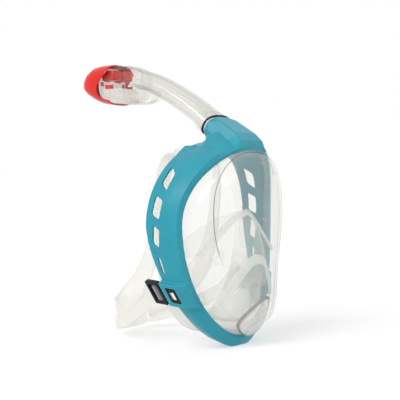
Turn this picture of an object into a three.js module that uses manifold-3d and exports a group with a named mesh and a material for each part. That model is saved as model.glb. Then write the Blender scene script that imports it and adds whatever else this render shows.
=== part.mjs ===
// A full-face snorkel mask: a rigid frame with a panoramic lens, a silicone face skirt and nose
// pocket with one-way valves, quick-release strap buckles, and a curved dry-top snorkel.
//
// Millimetres. +X is the wearer's left, -Y is the way the wearer looks, +Z is up. The shapes are
// worked out from the middle of the lens rim; the finished group is then moved so that its origin
// is the middle of the flat land under the chin.

import * as THREE from "three";
import { mergeVertices } from "three/addons/utils/BufferGeometryUtils.js";
import Module from "manifold-3d";

const wasm = await Module();
wasm.setup();

// ---------------------------------------------------------------- driving dimensions

const GAP = 0.35; // clearance between pieces that are assembled but not joined
const WALL = 2.6; // wall of the frame moulding
const RING_STEPS = 40; // facets round the face opening

// The lens rim: an egg shape, bent forward at the forehead and at the chin.
const RIM = { halfWidth: 80, up: 77, down: 119, topForward: 30, chinForward: 20 };

// How far back the frame's rear edge reaches, and how far it stands outside the rim.
const REAR = { side: 35, topRise: 11.5, chinRise: 53.5, out: 8.4 };

// The eye window: the gently crowned front of the lens, inside a soft crease.
const WINDOW = { centreZ: 12, halfWidth: 64, up: 61, down: 86, power: 2.3, y: -30, centreY: -44 };

// The snorkel socket on top of the frame: its mouth's centre and the direction it faces.
const MOUTH = new THREE.Vector3(0, 10.3, 100);
const NECK_PITCH = THREE.MathUtils.degToRad(31);
const NECK_AXIS = new THREE.Vector3(0, Math.cos(NECK_PITCH), Math.sin(NECK_PITCH));

// Oval sizes, full width by full thickness, of what fits inside what at the socket.
const OVAL = {
  neck: [46, 24.4],
  bore: [42.1, 20.6],
  flange: [45.4, 24],
  sleeve: [41.4, 19.9],
  sleeveBore: [38.8, 17.3],
  spigot: [38, 16.5],
  tube: [41, 19.5],
  collar: [44.8, 23.2],
  ring: [42, 20.5],
};
const SPIGOT_LENGTH = 27;
const TUBE_WALL = 1.8;

// The buckle on the frame's side: the centre of its front edge, how far its plane leans in from the
// upright, how far its long edges lean back in that plane, and how far its short edges rise.
const BUCKLE = { x: 76.5, y: 22, z: -69, slope: 25, lean: 15, rise: 5 };
const BUCKLE_SIZE = { width: 15.5, height: 26, thick: 5 };

// ---------------------------------------------------------------- materials

const plastic = (color, roughness = 0.35) =>
  new THREE.MeshStandardMaterial({ color, roughness, metalness: 0 });
const clear = (color, opacity, roughness = 0.1) =>
  new THREE.MeshStandardMaterial({ color, roughness, metalness: 0, transparent: true, opacity });

const MATERIAL = {
  turquoise: plastic(0x2fa3ba),
  lens: clear(0xf2f5f4, 0.25, 0.05),
  clearPlastic: clear(0xe9ebe6, 0.35),
  silicone: clear(0xe8e7e0, 0.6, 0.45),
  smoke: clear(0xc4c6c6, 0.7, 0.2),
  red: plastic(0xe23a2c),
  black: plastic(0x141414, 0.45),
  grey: plastic(0xa9abb0, 0.4),
  rubber: plastic(0x0d0d0d, 0.8),
  steel: new THREE.MeshStandardMaterial({ color: 0xc8cacc, roughness: 0.3, metalness: 1 }),
};

// ---------------------------------------------------------------- solid helpers

// Turns the winding round if the faces of a closed indexed geometry point inwards.
function facingOut(geometry) {
  const p = geometry.getAttribute("position");
  const index = geometry.index.array;
  const [a, b, c] = [new THREE.Vector3(), new THREE.Vector3(), new THREE.Vector3()];
  let volume = 0;
  for (let i = 0; i < index.length; i += 3) {
    a.fromBufferAttribute(p, index[i]);
    b.fromBufferAttribute(p, index[i + 1]);
    c.fromBufferAttribute(p, index[i + 2]);
    volume += a.dot(b.cross(c));
  }
  if (volume < 0) {
    for (let i = 0; i < index.length; i += 3) {
      [index[i + 1], index[i + 2]] = [index[i + 2], index[i + 1]];
    }
  }
  return geometry;
}

// A skin over a row of outlines of equal length. A closed row makes a ring; an open one is capped.
function loft(outlines, closed = false) {
  const points = outlines.flat();
  const n = outlines[0].length;
  const rows = outlines.length;
  const index = [];
  for (let i = 0; i < (closed ? rows : rows - 1); i++) {
    for (let j = 0; j < n; j++) {
      const a = i * n + j;
      const b = i * n + ((j + 1) % n);
      const c = ((i + 1) % rows) * n + j;
      const d = ((i + 1) % rows) * n + ((j + 1) % n);
      index.push(a, b, c, b, d, c);
    }
  }
  if (!closed) {
    [0, rows - 1].forEach((row, side) => {
      const middle = new THREE.Vector3();
      outlines[row].forEach((p) => middle.addScaledVector(p, 1 / n));
      const centre = points.push(middle) - 1;
      for (let j = 0; j < n; j++) {
        const a = row * n + j;
        const b = row * n + ((j + 1) % n);
        index.push(...(side ? [a, b, centre] : [b, a, centre]));
      }
    });
  }
  const geometry = new THREE.BufferGeometry().setFromPoints(points);
  geometry.setIndex(index);
  return facingOut(geometry);
}

// The same geometry with one shared point per corner and nothing but positions.
function bareIndexed(geometry) {
  const bare = new THREE.BufferGeometry();
  bare.setAttribute("position", geometry.getAttribute("position").clone());
  if (geometry.index) bare.setIndex(geometry.index.clone());
  return mergeVertices(bare, 1e-4);
}

function toSolid(geometry) {
  const merged = facingOut(bareIndexed(geometry));
  return new wasm.Manifold(
    new wasm.Mesh({
      numProp: 3,
      vertProperties: new Float32Array(merged.getAttribute("position").array),
      triVerts: new Uint32Array(merged.index.array),
    }),
  );
}

function toGeometry(solid) {
  const mesh = solid.getMesh();
  const geometry = new THREE.BufferGeometry();
  geometry.setAttribute("position", new THREE.BufferAttribute(mesh.vertProperties, 3));
  geometry.setIndex(new THREE.BufferAttribute(mesh.triVerts, 1));
  return geometry;
}

const join = (first, ...rest) =>
  toGeometry(rest.reduce((solid, g) => solid.add(toSolid(g)), toSolid(first)));

const cut = (first, ...tools) =>
  toGeometry(tools.reduce((solid, g) => solid.subtract(toSolid(g)), toSolid(first)));

const mask = new THREE.Group();

function piece(name, geometry, material) {
  const shown = facingOut(bareIndexed(geometry)).toNonIndexed();
  shown.computeVertexNormals();
  const mesh = new THREE.Mesh(shown, material);
  mesh.name = name;
  mask.add(mesh);
  return mesh;
}

const mirrored = (geometry) =>
  facingOut(bareIndexed(geometry).applyMatrix4(new THREE.Matrix4().makeScale(-1, 1, 1)));

// A shape and its mirror image across the middle of the mask.
const bothSides = (geometry) => [geometry, mirrored(geometry)];

// The two copies of a piece that the mask has on its left and on its right.
function pair(name, leftGeometry, material) {
  piece(`${name}_left`, leftGeometry, material);
  piece(`${name}_right`, mirrored(leftGeometry), material);
}

// ---------------------------------------------------------------- curves round the face opening

// Point of the lens rim at angle t from the top, turning towards +X.
function rimPoint(t) {
  const c = Math.cos(t);
  const tall = c > 0 ? RIM.up : RIM.down;
  const forward = c > 0 ? RIM.topForward : RIM.chinForward;
  return new THREE.Vector3(RIM.halfWidth * Math.sin(t), -forward * c * c, tall * c);
}

// The rim's outward direction at angle t, square to the rim as seen from the front.
function rimOutward(t) {
  const c = Math.cos(t);
  const tall = c > 0 ? RIM.up : RIM.down;
  return new THREE.Vector3(Math.sin(t) / RIM.halfWidth, 0, c / tall).normalize();
}

// A point out from the rim by `out` and behind it by `back`.
const off = (t, out, back) =>
  rimPoint(t).addScaledVector(rimOutward(t), out).add(new THREE.Vector3(0, back, 0));

// A ring round the face opening; profile(t) lists [out, back] pairs.
function ring(profile, steps = RING_STEPS) {
  const outlines = [];
  for (let i = 0; i < steps; i++) {
    const t = (2 * Math.PI * i) / steps;
    outlines.push(profile(t).map(([out, back]) => off(t, out, back)));
  }
  return loft(outlines, true);
}

// Share of the way up to the forehead, and down to the chin, at angle t.
const upShare = (t) => Math.max(Math.cos(t), 0);
const downShare = (t) => Math.max(-Math.cos(t), 0);

// The frame's widest line, [out, back] from the rim.
function knee(t) {
  const up = upShare(t);
  const down = downShare(t);
  const y = REAR.side - REAR.topRise * up ** 2 - REAR.chinRise * down ** 1.58;
  return [REAR.out - up + 2.4 * down ** 2, y - rimPoint(t).y];
}

// The frame's rear edge: just behind the knee at the sides, and tucked under at the chin.
function rearEdge(t) {
  const [out, back] = knee(t);
  const down = downShare(t);
  return [out - 0.6 - 3 * down ** 3, back + 1.6 + 13 * down ** 3];
}

// ---------------------------------------------------------------- oval sections

// Points of a rounded oval of full size [wide, thick], squarer than an ellipse.
function ovalPoints([wide, thick], steps = 24, power = 2.6) {
  const points = [];
  for (let i = 0; i < steps; i++) {
    const a = (2 * Math.PI * i) / steps;
    const bend = (v) => Math.sign(v) * Math.abs(v) ** (2 / power);
    points.push([(wide / 2) * bend(Math.cos(a)), (thick / 2) * bend(Math.sin(a))]);
  }
  return points;
}

const ACROSS = new THREE.Vector3(1, 0, 0);
const NECK_UP = new THREE.Vector3().crossVectors(ACROSS, NECK_AXIS);

// An oval outline square to the neck's axis, `along` mm out of the mouth.
const neckOval = (size, along, steps) =>
  ovalPoints(size, steps).map(([x, y]) =>
    MOUTH.clone()
      .addScaledVector(NECK_AXIS, along)
      .addScaledVector(ACROSS, x)
      .addScaledVector(NECK_UP, y),
  );

// A straight oval sleeve or plug on the neck's axis.
const ovalBar = (size, from, to) => loft([neckOval(size, from), neckOval(size, to)]);
const ovalSleeve = (outer, inner, from, to) =>
  cut(ovalBar(outer, from, to), ovalBar(inner, from - 1, to + 1));

// A box of the given size, turned and placed by a matrix.
const boxAt = (matrix, x, y, z, dx, dy, dz) =>
  new THREE.BoxGeometry(dx, dy, dz).translate(x, y, z).applyMatrix4(matrix);

const cylinderAt = (matrix, radius, length, segments = 24) =>
  new THREE.CylinderGeometry(radius, radius, length, segments)
    .rotateX(Math.PI / 2)
    .applyMatrix4(matrix);

// Frame whose X is across, whose Z is `normal`, and whose Y completes it, at a point.
function frameOn(point, normal, across = ACROSS) {
  const z = normal.clone().normalize();
  const x = across.clone().addScaledVector(z, -across.dot(z)).normalize();
  const y = new THREE.Vector3().crossVectors(z, x);
  return new THREE.Matrix4().makeBasis(x, y, z).setPosition(point);
}

// ---------------------------------------------------------------- outer frame

const LIP = { cover: 2.5, front: 3.2, width: 6.2 }; // the bead round the lens
const SHOULDER = { out: 5.4, back: 4.7 }; // the ledge that the retaining ring is screwed to

function frameProfile(t) {
  const [kneeOut, kneeBack] = knee(t);
  const [edgeOut, edgeBack] = rearEdge(t);
  const midOut = 0.45 * kneeOut + 5.2;
  const midBack = 0.45 * kneeBack;
  const chinTaper = 2 * downShare(t) ** 3;
  return [
    [-LIP.cover, -0.4],
    [-LIP.cover + 0.5, -LIP.front + 0.8],
    [1, -LIP.front],
    [LIP.width, -1.2],
    [midOut, midBack],
    [kneeOut, kneeBack],
    [edgeOut, edgeBack],
    [edgeOut - WALL, edgeBack],
    [kneeOut - WALL - chinTaper, Math.max(kneeBack - 0.5, 8)],
    [midOut - WALL - chinTaper / 2, Math.max(midBack, 6)],
    [SHOULDER.out, SHOULDER.back],
    [1.8, SHOULDER.back],
    [1.8, -0.4],
  ];
}

// The neck runs down and forward from the mouth: a flat front face between two ridges, and flanks
// that fall away to a hip and a heel. The first section is the mouth's oval.
const NECK = [
  { along: 0, front: 14, half: 23, top: 12.2, bottom: 12.2, angular: 0 },
  { along: -6, front: 17.5, half: 25, top: 12, bottom: 14, angular: 1 },
  { along: -34, front: 18.5, half: 27, top: 11.8, bottom: 16, angular: 1 },
  { along: -44.5, front: 20.5, half: 29.5, top: 8.8, bottom: 13, angular: 1 },
  { along: -50, front: 21.5, half: 31, top: 3.5, bottom: 9, angular: 1 },
];
function neckSection({ along, front, half, top, bottom, angular }) {
  const hip = [half, -0.1 * (top + bottom)];
  const heel = [0.72 * half, -bottom];
  const corners = [hip, [front, top], [-front, top], [-half, hip[1]], [-heel[0], heel[1]], heel];
  const outline = [];
  corners.forEach(([x1, y1], i) => {
    const [x2, y2] = corners[(i + 1) % corners.length];
    for (let k = 0; k < 5; k++) {
      const [x, y] = [x1 + ((x2 - x1) * k) / 5, y1 + ((y2 - y1) * k) / 5];
      const oval = ((Math.abs(x) / half) ** 2.6 + (Math.abs(y) / top) ** 2.6) ** (-1 / 2.6);
      const scale = oval + (1 - oval) * angular;
      outline.push(
        MOUTH.clone()
          .addScaledVector(NECK_AXIS, along)
          .addScaledVector(ACROSS, x * scale)
          .addScaledVector(NECK_UP, y * scale),
      );
    }
  });
  return outline;
}

// The foot that carries the neck's sides out into the wings, in level ovals.
const FOOT = [
  { z: 72, half: 42, deep: 26, y: -5 },
  { z: 80, half: 36, deep: 25, y: -5 },
  { z: 86, half: 28.5, deep: 19, y: -3.5 },
  { z: 92, half: 24.5, deep: 14.5, y: -1.5 },
  { z: 97, half: 20, deep: 9, y: 2 },
];
const footLevel = ({ z, half, deep, y }) =>
  ovalPoints([2 * half, 2 * deep]).map(([a, b]) => new THREE.Vector3(a, y + b, z));

const neckBody = () => join(loft(NECK.map(neckSection)), loft(FOOT.map(footLevel)));

// The slots along the rear of each wing, widest at the top.
const SLOTS = [
  { z: 45.7, back: 18.4, tall: 17.6, lean: 11.5, deep: 9, rise: 7.2 },
  { z: 17.2, back: 23.2, tall: 19.4, lean: 6.3, deep: 10, rise: 5.2 },
  { z: -11.8, back: 23.2, tall: 18.1, lean: 3.7, deep: 7.6, rise: 5.1 },
  { z: -40.7, back: 19.7, tall: 17, lean: -11.7, deep: 3.9, rise: 3.1 },
];

// A parallelogram with rounded corners, pushed sideways through the wing. Its long edges lean
// forward at the top, and its short ones rise towards the rear.
function slotCutter({ z, back, tall, lean, deep, rise }) {
  const angle = THREE.MathUtils.degToRad(lean);
  const along = new THREE.Vector2(-Math.sin(angle), Math.cos(angle)).multiplyScalar(tall / 2);
  const across = new THREE.Vector2(deep, rise).divideScalar(2);
  const corners = [[-1, -1], [1, -1], [1, 1], [-1, 1]].map(([i, j]) =>
    new THREE.Vector2(back, z).addScaledVector(across, i).addScaledVector(along, j),
  );
  const turn = 0.5 * across.length();
  const shape = new THREE.Shape();
  corners.forEach((corner, k) => {
    const before = corners[(k + 3) % 4];
    const after = corners[(k + 1) % 4];
    const start = corner.clone().lerp(before, turn / corner.distanceTo(before));
    const end = corner.clone().lerp(after, turn / corner.distanceTo(after));
    if (k) shape.lineTo(start.x, start.y);
    else shape.moveTo(start.x, start.y);
    shape.quadraticCurveTo(corner.x, corner.y, end.x, end.y);
  });
  shape.closePath();
  return new THREE.ExtrudeGeometry(shape, { depth: 60, bevelEnabled: false, curveSegments: 3 })
    .rotateX(Math.PI / 2)
    .rotateZ(Math.PI / 2)
    .translate(50, 0, 0);
}

// Where the buckle and its button lie on the left: X rearwards, Y up the slope, Z outwards. The
// buckle is a parallelogram, so X and Y are not square to each other.
const slopeAngle = THREE.MathUtils.degToRad(BUCKLE.slope);
const leanAngle = THREE.MathUtils.degToRad(BUCKLE.lean);
const riseAngle = THREE.MathUtils.degToRad(BUCKLE.rise);
const BUCKLE_OUT = new THREE.Vector3(Math.cos(slopeAngle), 0, -Math.sin(slopeAngle));
const UP_THE_SLOPE = new THREE.Vector3(Math.sin(slopeAngle), 0, Math.cos(slopeAngle));
const REARWARDS = new THREE.Vector3(0, 1, 0);
const inPlane = (rearwards, upwards) =>
  REARWARDS.clone().multiplyScalar(rearwards).addScaledVector(UP_THE_SLOPE, upwards);
const BUCKLE_X = inPlane(Math.cos(riseAngle), Math.sin(riseAngle));
const BUCKLE_Y = inPlane(Math.sin(leanAngle), Math.cos(leanAngle));
const BUCKLE_FRAME = new THREE.Matrix4()
  .makeBasis(BUCKLE_X, BUCKLE_Y, BUCKLE_OUT)
  .setPosition(BUCKLE.x, BUCKLE.y, BUCKLE.z);

const buckleAt = (x, y, z) => new THREE.Vector3(x, y, z).applyMatrix4(BUCKLE_FRAME);
const buckleAcross = buckleAt(0, 1, 0).sub(buckleAt(0, 0, 0));

const PAD = { deep: 31, tall: 27, thick: 8.5 }; // the raised block that holds the buckle's tongue
const TONGUE = { long: 22, tall: 15, thick: 2.2 };
const BUTTON = { deep: 11, tall: 16, thick: 1.8, centre: -12.5 };
const BUTTON_TOP = 2.6; // height of the button's face over the buckle's mid plane

const padBody = () =>
  boxAt(BUCKLE_FRAME, -PAD.deep / 2 - 1, 0, -1.6, PAD.deep, PAD.tall, PAD.thick);
const TONGUE_DEPTH = -2.9; // how far the tongue lies under the buckle's mid plane
function tonguePocket() {
  const { long, tall, thick } = TONGUE;
  return boxAt(BUCKLE_FRAME, 4 - long / 2, 0, TONGUE_DEPTH, long + 10, tall + 1, thick + 1);
}
const buckleRoom = () =>
  boxAt(BUCKLE_FRAME, 10.2, 0, 0, 20, BUCKLE_SIZE.height + 1.4, BUCKLE_SIZE.thick + 3.4);
const buttonWindow = () =>
  boxAt(BUCKLE_FRAME, BUTTON.centre, 0, 2.2, BUTTON.deep + 0.8, BUTTON.tall + 0.8, 9.4);

// The pocket on the frame's top corner that the strap's upper arm plugs into.
const ANCHOR = { x: 39, y: 21.5, z: 72.5, wide: 17, deep: 14, tall: 7.4 };
const ANCHOR_FRAME = new THREE.Matrix4()
  .makeRotationY(THREE.MathUtils.degToRad(33))
  .setPosition(ANCHOR.x, ANCHOR.y, ANCHOR.z);
const anchorBody = () => boxAt(ANCHOR_FRAME, 0, 0, 0, ANCHOR.wide, ANCHOR.deep, ANCHOR.tall);
const anchorPocket = () => boxAt(ANCHOR_FRAME, 0, 2, -0.1, 14.6, 14, 3.1);

// The flat land under the chin that the mask stands on.
const CHIN_FLAT_Z = -128;
const CHIN_FLAT_Y = -17;

function outerFrame() {
  const rimRing = ring(frameProfile);
  const body = join(rimRing, neckBody(), ...bothSides(padBody()), ...bothSides(anchorBody()));
  const openings = [tonguePocket(), buckleRoom(), buttonWindow(), anchorPocket()];
  const belowTheFlat = new THREE.BoxGeometry(80, 60, 20).translate(0, -10, CHIN_FLAT_Z - 10);
  return cut(
    body,
    faceSpace(),
    ovalBar(OVAL.bore, -34, 2),
    ...openings.flatMap(bothSides),
    ...SLOTS.flatMap((slot) => bothSides(slotCutter(slot))),
    belowTheFlat,
  );
}

// The room inside the frame for the lens, the retaining ring and the face, so that nothing of the
// neck or the side pads stands into it.
function faceSpace() {
  const behind = (t) => Math.max(rearEdge(t)[0] - WALL, 2.2) - 0.1;
  const stations = [
    { back: -60, out: () => 2 },
    { back: -LIP.front - 0.4, out: () => 2 },
    { back: -LIP.front - 0.3, out: () => -LIP.cover - 0.1 },
    { back: -0.45, out: () => -LIP.cover - 0.1 },
    { back: -0.35, out: () => 1.8 },
    { back: SHOULDER.back - 0.05, out: () => 1.8 },
    { back: SHOULDER.back + 0.05, out: () => SHOULDER.out },
    { back: 40, out: behind },
    { back: 70, out: behind },
  ];
  return loft(
    stations.map(({ back, out }) => {
      const outline = [];
      for (let k = 0; k < RING_STEPS; k++) {
        const t = (2 * Math.PI * k) / RING_STEPS;
        outline.push(off(t, out(t), back));
      }
      return outline;
    }),
  );
}

// ---------------------------------------------------------------- lens

const LENS_WALL = 2.2;
const LENS_FLANGE = { out: 1, front: 0.3, rear: 2 }; // the rim that the retaining ring clamps

// The soft crease round the eye window.
function windowPoint(t) {
  const c = Math.cos(t);
  const s = Math.sin(t);
  const tall = c > 0 ? WINDOW.up : WINDOW.down;
  const power = c > 0 ? WINDOW.power : 2;
  const bend = (v) => Math.sign(v) * Math.abs(v) ** (2 / power);
  const y = c > 0 ? WINDOW.y - 5 * c * c : WINDOW.y - 22 * c ** 4;
  return new THREE.Vector3(WINDOW.halfWidth * bend(s), y, WINDOW.centreZ + tall * bend(c));
}

// The lens's outer surface: share 0 is the middle of the window, 1 its crease, 2 the rim.
function lensPoint(t, share) {
  const edge = windowPoint(t);
  if (share <= 1) {
    const y = WINDOW.centreY + (edge.y - WINDOW.centreY) * share ** 2;
    return new THREE.Vector3(edge.x * share, y, WINDOW.centreZ + (edge.z - WINDOW.centreZ) * share);
  }
  const rim = rimPoint(t);
  const down = downShare(t) ** 2;
  const top = upShare(t) ** 8; // the crease runs close to the lip there, so the curve flattens
  const bulge = new THREE.Vector3(
    rim.x * 0.955,
    edge.y + (9 - 13 * down) * (1 - 0.3 * upShare(t) - 0.55 * top),
    edge.z + (rim.z - edge.z) * (0.86 - 0.03 * down - 0.7 * top),
  );
  const atLip = off(t, -LIP.cover - 1.1, -LIP.front + 0.4);
  const curve = new THREE.QuadraticBezierCurve3(edge, bulge, atLip);
  return curve.getPoint(share - 1);
}

// The same surface moved square to itself by `depth`, into the mask.
function lensInner(t, share, depth) {
  const step = 0.02;
  const here = lensPoint(t, share);
  const alongT = lensPoint(t + step, share).sub(lensPoint(t - step, share));
  const low = Math.max(share - step, 0.02);
  const high = Math.min(share + step, 2);
  const alongS = lensPoint(t, high).sub(lensPoint(t, low));
  const normal = alongT.cross(alongS).normalize();
  if (normal.y < 0) normal.negate();
  return here.addScaledVector(normal, depth);
}

const LENS_STEPS = 36;
function lensLoop(share, depth = 0) {
  const outline = [];
  for (let i = 0; i < LENS_STEPS; i++) {
    const t = (2 * Math.PI * (i + 0.5)) / LENS_STEPS;
    outline.push(depth ? lensInner(t, share, depth) : lensPoint(t, share));
  }
  return outline;
}

const rimLoop = (out, back) => {
  const outline = [];
  for (let i = 0; i < LENS_STEPS; i++) {
    outline.push(off((2 * Math.PI * (i + 0.5)) / LENS_STEPS, out, back));
  }
  return outline;
};

function lensShell() {
  const shares = [0.35, 0.7, 1, 1.25, 1.5, 1.75];
  return loft([
    ...shares.map((share) => lensLoop(share)),
    rimLoop(-LIP.cover - 0.7, -2.4),
    rimLoop(-LIP.cover - 0.7, LENS_FLANGE.front),
    rimLoop(LENS_FLANGE.out, LENS_FLANGE.front),
    rimLoop(LENS_FLANGE.out, LENS_FLANGE.rear),
    rimLoop(-LIP.cover - 2.8, LENS_FLANGE.rear),
    ...shares.toReversed().map((share) => lensLoop(share, LENS_WALL)),
  ]);
}

// ---------------------------------------------------------------- drain at the chin

// The drain cover lies on a sloping plane from its tip down to the frame's lip.
const DRAIN = {
  tip: new THREE.Vector3(0, -51.5, -75),
  foot: new THREE.Vector3(0, -29.5, -117),
  halfWidth: 23,
  crown: 4.5,
  sideDrop: 0.011,
};
const DRAIN_DOWN = DRAIN.foot.clone().sub(DRAIN.tip);
const DRAIN_TALL = DRAIN_DOWN.length();
DRAIN_DOWN.normalize();
const DRAIN_OUT = new THREE.Vector3().crossVectors(DRAIN_DOWN, ACROSS).normalize();
if (DRAIN_OUT.y > 0) DRAIN_OUT.negate();

// Outline of the cover, a rounded shield: `grow` widens it, `lift` moves it out of its plane.
function drainLoop(scale, grow, lift, steps = 26) {
  const outline = [];
  const widest = 0.68;
  for (let i = 0; i < steps; i++) {
    const a = (2 * Math.PI * i) / steps;
    const c = Math.cos(a);
    const s = Math.sin(a);
    const narrow = c > 0 ? 1 - 0.38 * c ** 1.2 : 1;
    const x = scale * (DRAIN.halfWidth + grow) * s * narrow;
    const rise = c > 0 ? widest * DRAIN_TALL : (1 - widest) * DRAIN_TALL;
    const v = widest * DRAIN_TALL - scale * (rise + grow) * c;
    const h = DRAIN.crown * (1 - scale ** 2) - DRAIN.sideDrop * x * x + lift;
    outline.push(
      DRAIN.tip
        .clone()
        .addScaledVector(DRAIN_DOWN, v)
        .addScaledVector(ACROSS, x)
        .addScaledVector(DRAIN_OUT, h),
    );
  }
  return outline;
}

const drainCover = () =>
  loft([
    ...[0.35, 0.7, 0.92].map((scale) => drainLoop(scale, 0, 1.6)),
    drainLoop(1, 0, 0.9),
    drainLoop(1, 0, -1.6),
    drainLoop(0.9, 0, -1.6),
    ...[0.85, 0.6, 0.35].map((scale) => drainLoop(scale, 0, 0)),
  ]);

// What is cut from the lens so that the cover sits in it.
const drainHole = () => loft([drainLoop(1, GAP, 16), drainLoop(1, GAP, -12)]);

const DRAIN_MIDDLE = DRAIN.tip.clone().addScaledVector(DRAIN_DOWN, 0.6 * DRAIN_TALL);
const drainFrame = (lift) =>
  frameOn(DRAIN_MIDDLE.clone().addScaledVector(DRAIN_OUT, lift), DRAIN_OUT);

const DRAIN_PORT = { orbit: 5.6, radius: 3.1, stemRadius: 1.3 };

// A wall that closes the hole behind the cover, with the round drain valve's ports in it.
function drainSeat() {
  const plate = loft([drainLoop(0.93, 0, -3.2), drainLoop(0.93, 0, -5.4)]);
  const ports = [0, 1, 2, 3].map((k) => {
    const angle = (Math.PI / 2) * k + Math.PI / 4;
    const [x, y] = [DRAIN_PORT.orbit * Math.cos(angle), DRAIN_PORT.orbit * Math.sin(angle)];
    const place = drainFrame(-4.5).multiply(new THREE.Matrix4().makeTranslation(x, y, 0));
    return cylinderAt(place, DRAIN_PORT.radius, 14, 14);
  });
  const stemHole = cylinderAt(drainFrame(-4.5), DRAIN_PORT.stemRadius, 14, 12);
  return cut(plate, ...ports, stemHole);
}

// A mushroom valve: a thin disc with a stem through its seat.
function valveDisc(frameAt, radius, stem) {
  const disc = new THREE.LatheGeometry(
    [
      [0, 0.9],
      [radius, 0.5],
      [radius, 0.1],
      [0.9, 0],
      [0.9, -stem],
      [0, -stem],
    ].map(([r, h]) => new THREE.Vector2(r, h)),
    20,
  );
  return disc.rotateX(Math.PI / 2).applyMatrix4(frameAt);
}

// ---------------------------------------------------------------- silicone skirt and nose pocket

const SKIRT_WALL = 1.8;

// How far behind the lens rim the skirt reaches at angle t.
function skirtBack(t) {
  const y = 35.5 - 3 * upShare(t) + 7 * downShare(t) ** 2;
  return y - rimPoint(t).y;
}

function skirtProfile(t) {
  const back = skirtBack(t);
  const down = downShare(t);
  const curl = 15 - 5 * down;
  const sideOut = Math.min(rearEdge(t)[0] - WALL - 1.2, 2) - 3 * down;
  const wall = [
    [-3.5, 9],
    [-3, 0.5 * back],
    [sideOut, 0.8 * back],
    [sideOut - 3, back - 2],
    [sideOut - curl * 0.6, back],
    [sideOut - curl, back - 1],
  ];
  return [
    [1.4, 2.35],
    [1.4, 4.6],
    [-3.5, 4.6],
    ...wall,
    [sideOut - curl, back - 1.8],
    ...wall
      .slice(0, 5)
      .toReversed()
      .map(([out, y], i) => [out - SKIRT_WALL, i < 2 ? y - SKIRT_WALL : y - 0.4]),
    [-3.5 - SKIRT_WALL, 2.35],
  ];
}

// The nose pocket: a funnel from a ring behind the lens to the edge that rests on the face.
const POCKET_WALL = 1.8;
const POCKET_STEPS = 32;
function pocketFront(t) {
  const c = Math.cos(t);
  const y = c > 0 ? -38 + 14 * (1 - c) : -24 + 6 * (1 + c);
  return new THREE.Vector3(38 * Math.sin(t), y, -68 + (c > 0 ? 30 : 34) * c);
}
function pocketBack(t) {
  const c = Math.cos(t);
  const y = c > 0 ? 4 - 28 * c ** 1.5 : 4 + 22 * c * c;
  return new THREE.Vector3(54 * Math.sin(t), y, -52 + (c > 0 ? 62 : 44) * c);
}
function pocketLoop(share, inset) {
  const outline = [];
  for (let i = 0; i < POCKET_STEPS; i++) {
    const t = (2 * Math.PI * i) / POCKET_STEPS;
    const front = pocketFront(t);
    const back = pocketBack(t);
    const p = front.lerp(back, share);
    const belly = 5 * Math.sin(Math.PI * share) - inset;
    const outward = new THREE.Vector3(Math.sin(t), 0, Math.cos(t));
    outline.push(p.addScaledVector(outward, belly));
  }
  return outline;
}
const pocketBody = () =>
  loft(
    [
      ...[0, 0.33, 0.67, 1].map((share) => pocketLoop(share, 0)),
      ...[1, 0.67, 0.33, 0].map((share) => pocketLoop(share, POCKET_WALL)),
    ],
    true,
  );

// Inhale valves on the pocket's upper faces and exhale valves low on its sides, on the left.
function pocketSite(t, share) {
  const a = 0.05;
  const at = (u, s) => pocketFront(u).lerp(pocketBack(u), s)
    .addScaledVector(new THREE.Vector3(Math.sin(u), 0, Math.cos(u)), 5 * Math.sin(Math.PI * s));
  const alongT = at(t + a, share).sub(at(t - a, share));
  const alongS = at(t, share + a).sub(at(t, share - a));
  const normal = alongS.cross(alongT).normalize();
  if (normal.x < 0) normal.negate();
  return frameOn(at(t, share).addScaledVector(normal, -POCKET_WALL / 2), normal, alongT);
}
const INHALE = pocketSite(THREE.MathUtils.degToRad(58), 0.5);
const EXHALE = pocketSite(THREE.MathUtils.degToRad(112), 0.52);
const VALVE = { inhale: 7.5, exhale: 7 };

function valveHole(site, radius) {
  return cylinderAt(site, radius + 0.4, 16, 20);
}

// A hard ring with a crossbar, snapped into the pocket's wall.
function valveSeat(site, radius) {
  const groove = new THREE.LatheGeometry(
    [
      [radius - 1.5, -1.4],
      [radius, -1.4],
      [radius, 2.4],
      [radius - 1.5, 2.4],
      [radius - 1.5, -1.4],
    ].map(([r, h]) => new THREE.Vector2(r, h)),
    20,
  );
  groove.rotateX(Math.PI / 2);
  const bar = new THREE.BoxGeometry(2 * radius - 2, 2.4, 1.6).translate(0, 0, 0.6);
  const ringSolid = join(groove, bar);
  const stemHole = new THREE.CylinderGeometry(0.85, 0.85, 8, 12).rotateX(Math.PI / 2);
  return cut(ringSolid, stemHole).applyMatrix4(site);
}

// The thin flap on one side of the seat: side 1 is the outside of the pocket, -1 the inside.
function valveFlap(site, radius, side) {
  const flap = new THREE.LatheGeometry(
    [
      [0, 0.7],
      [radius - 1.9, 0.6],
      [radius - 1.9, 0.1],
      [0.6, 0],
      [0.6, -1.6],
      [0, -1.6],
    ].map(([r, h]) => new THREE.Vector2(r, h)),
    18,
  );
  flap.rotateX(Math.PI / 2);
  if (side < 0) flap.rotateX(Math.PI);
  flap.translate(0, 0, side > 0 ? 1.4 + GAP : -0.2 - GAP);
  return flap.applyMatrix4(site);
}

// ---------------------------------------------------------------- snorkel

// The tube's centre line, from the mouth of the socket up and back over the head.
const TUBE_LINE = new THREE.CatmullRomCurve3([
  MOUTH.clone().addScaledVector(NECK_AXIS, 5),
  new THREE.Vector3(0, 31, 115.2),
  new THREE.Vector3(0, 53, 128.9),
  new THREE.Vector3(0, 76, 141.2),
  new THREE.Vector3(0, 98, 150.8),
  new THREE.Vector3(0, 123, 158),
]);

const TUBE_STEPS = 9;

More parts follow.
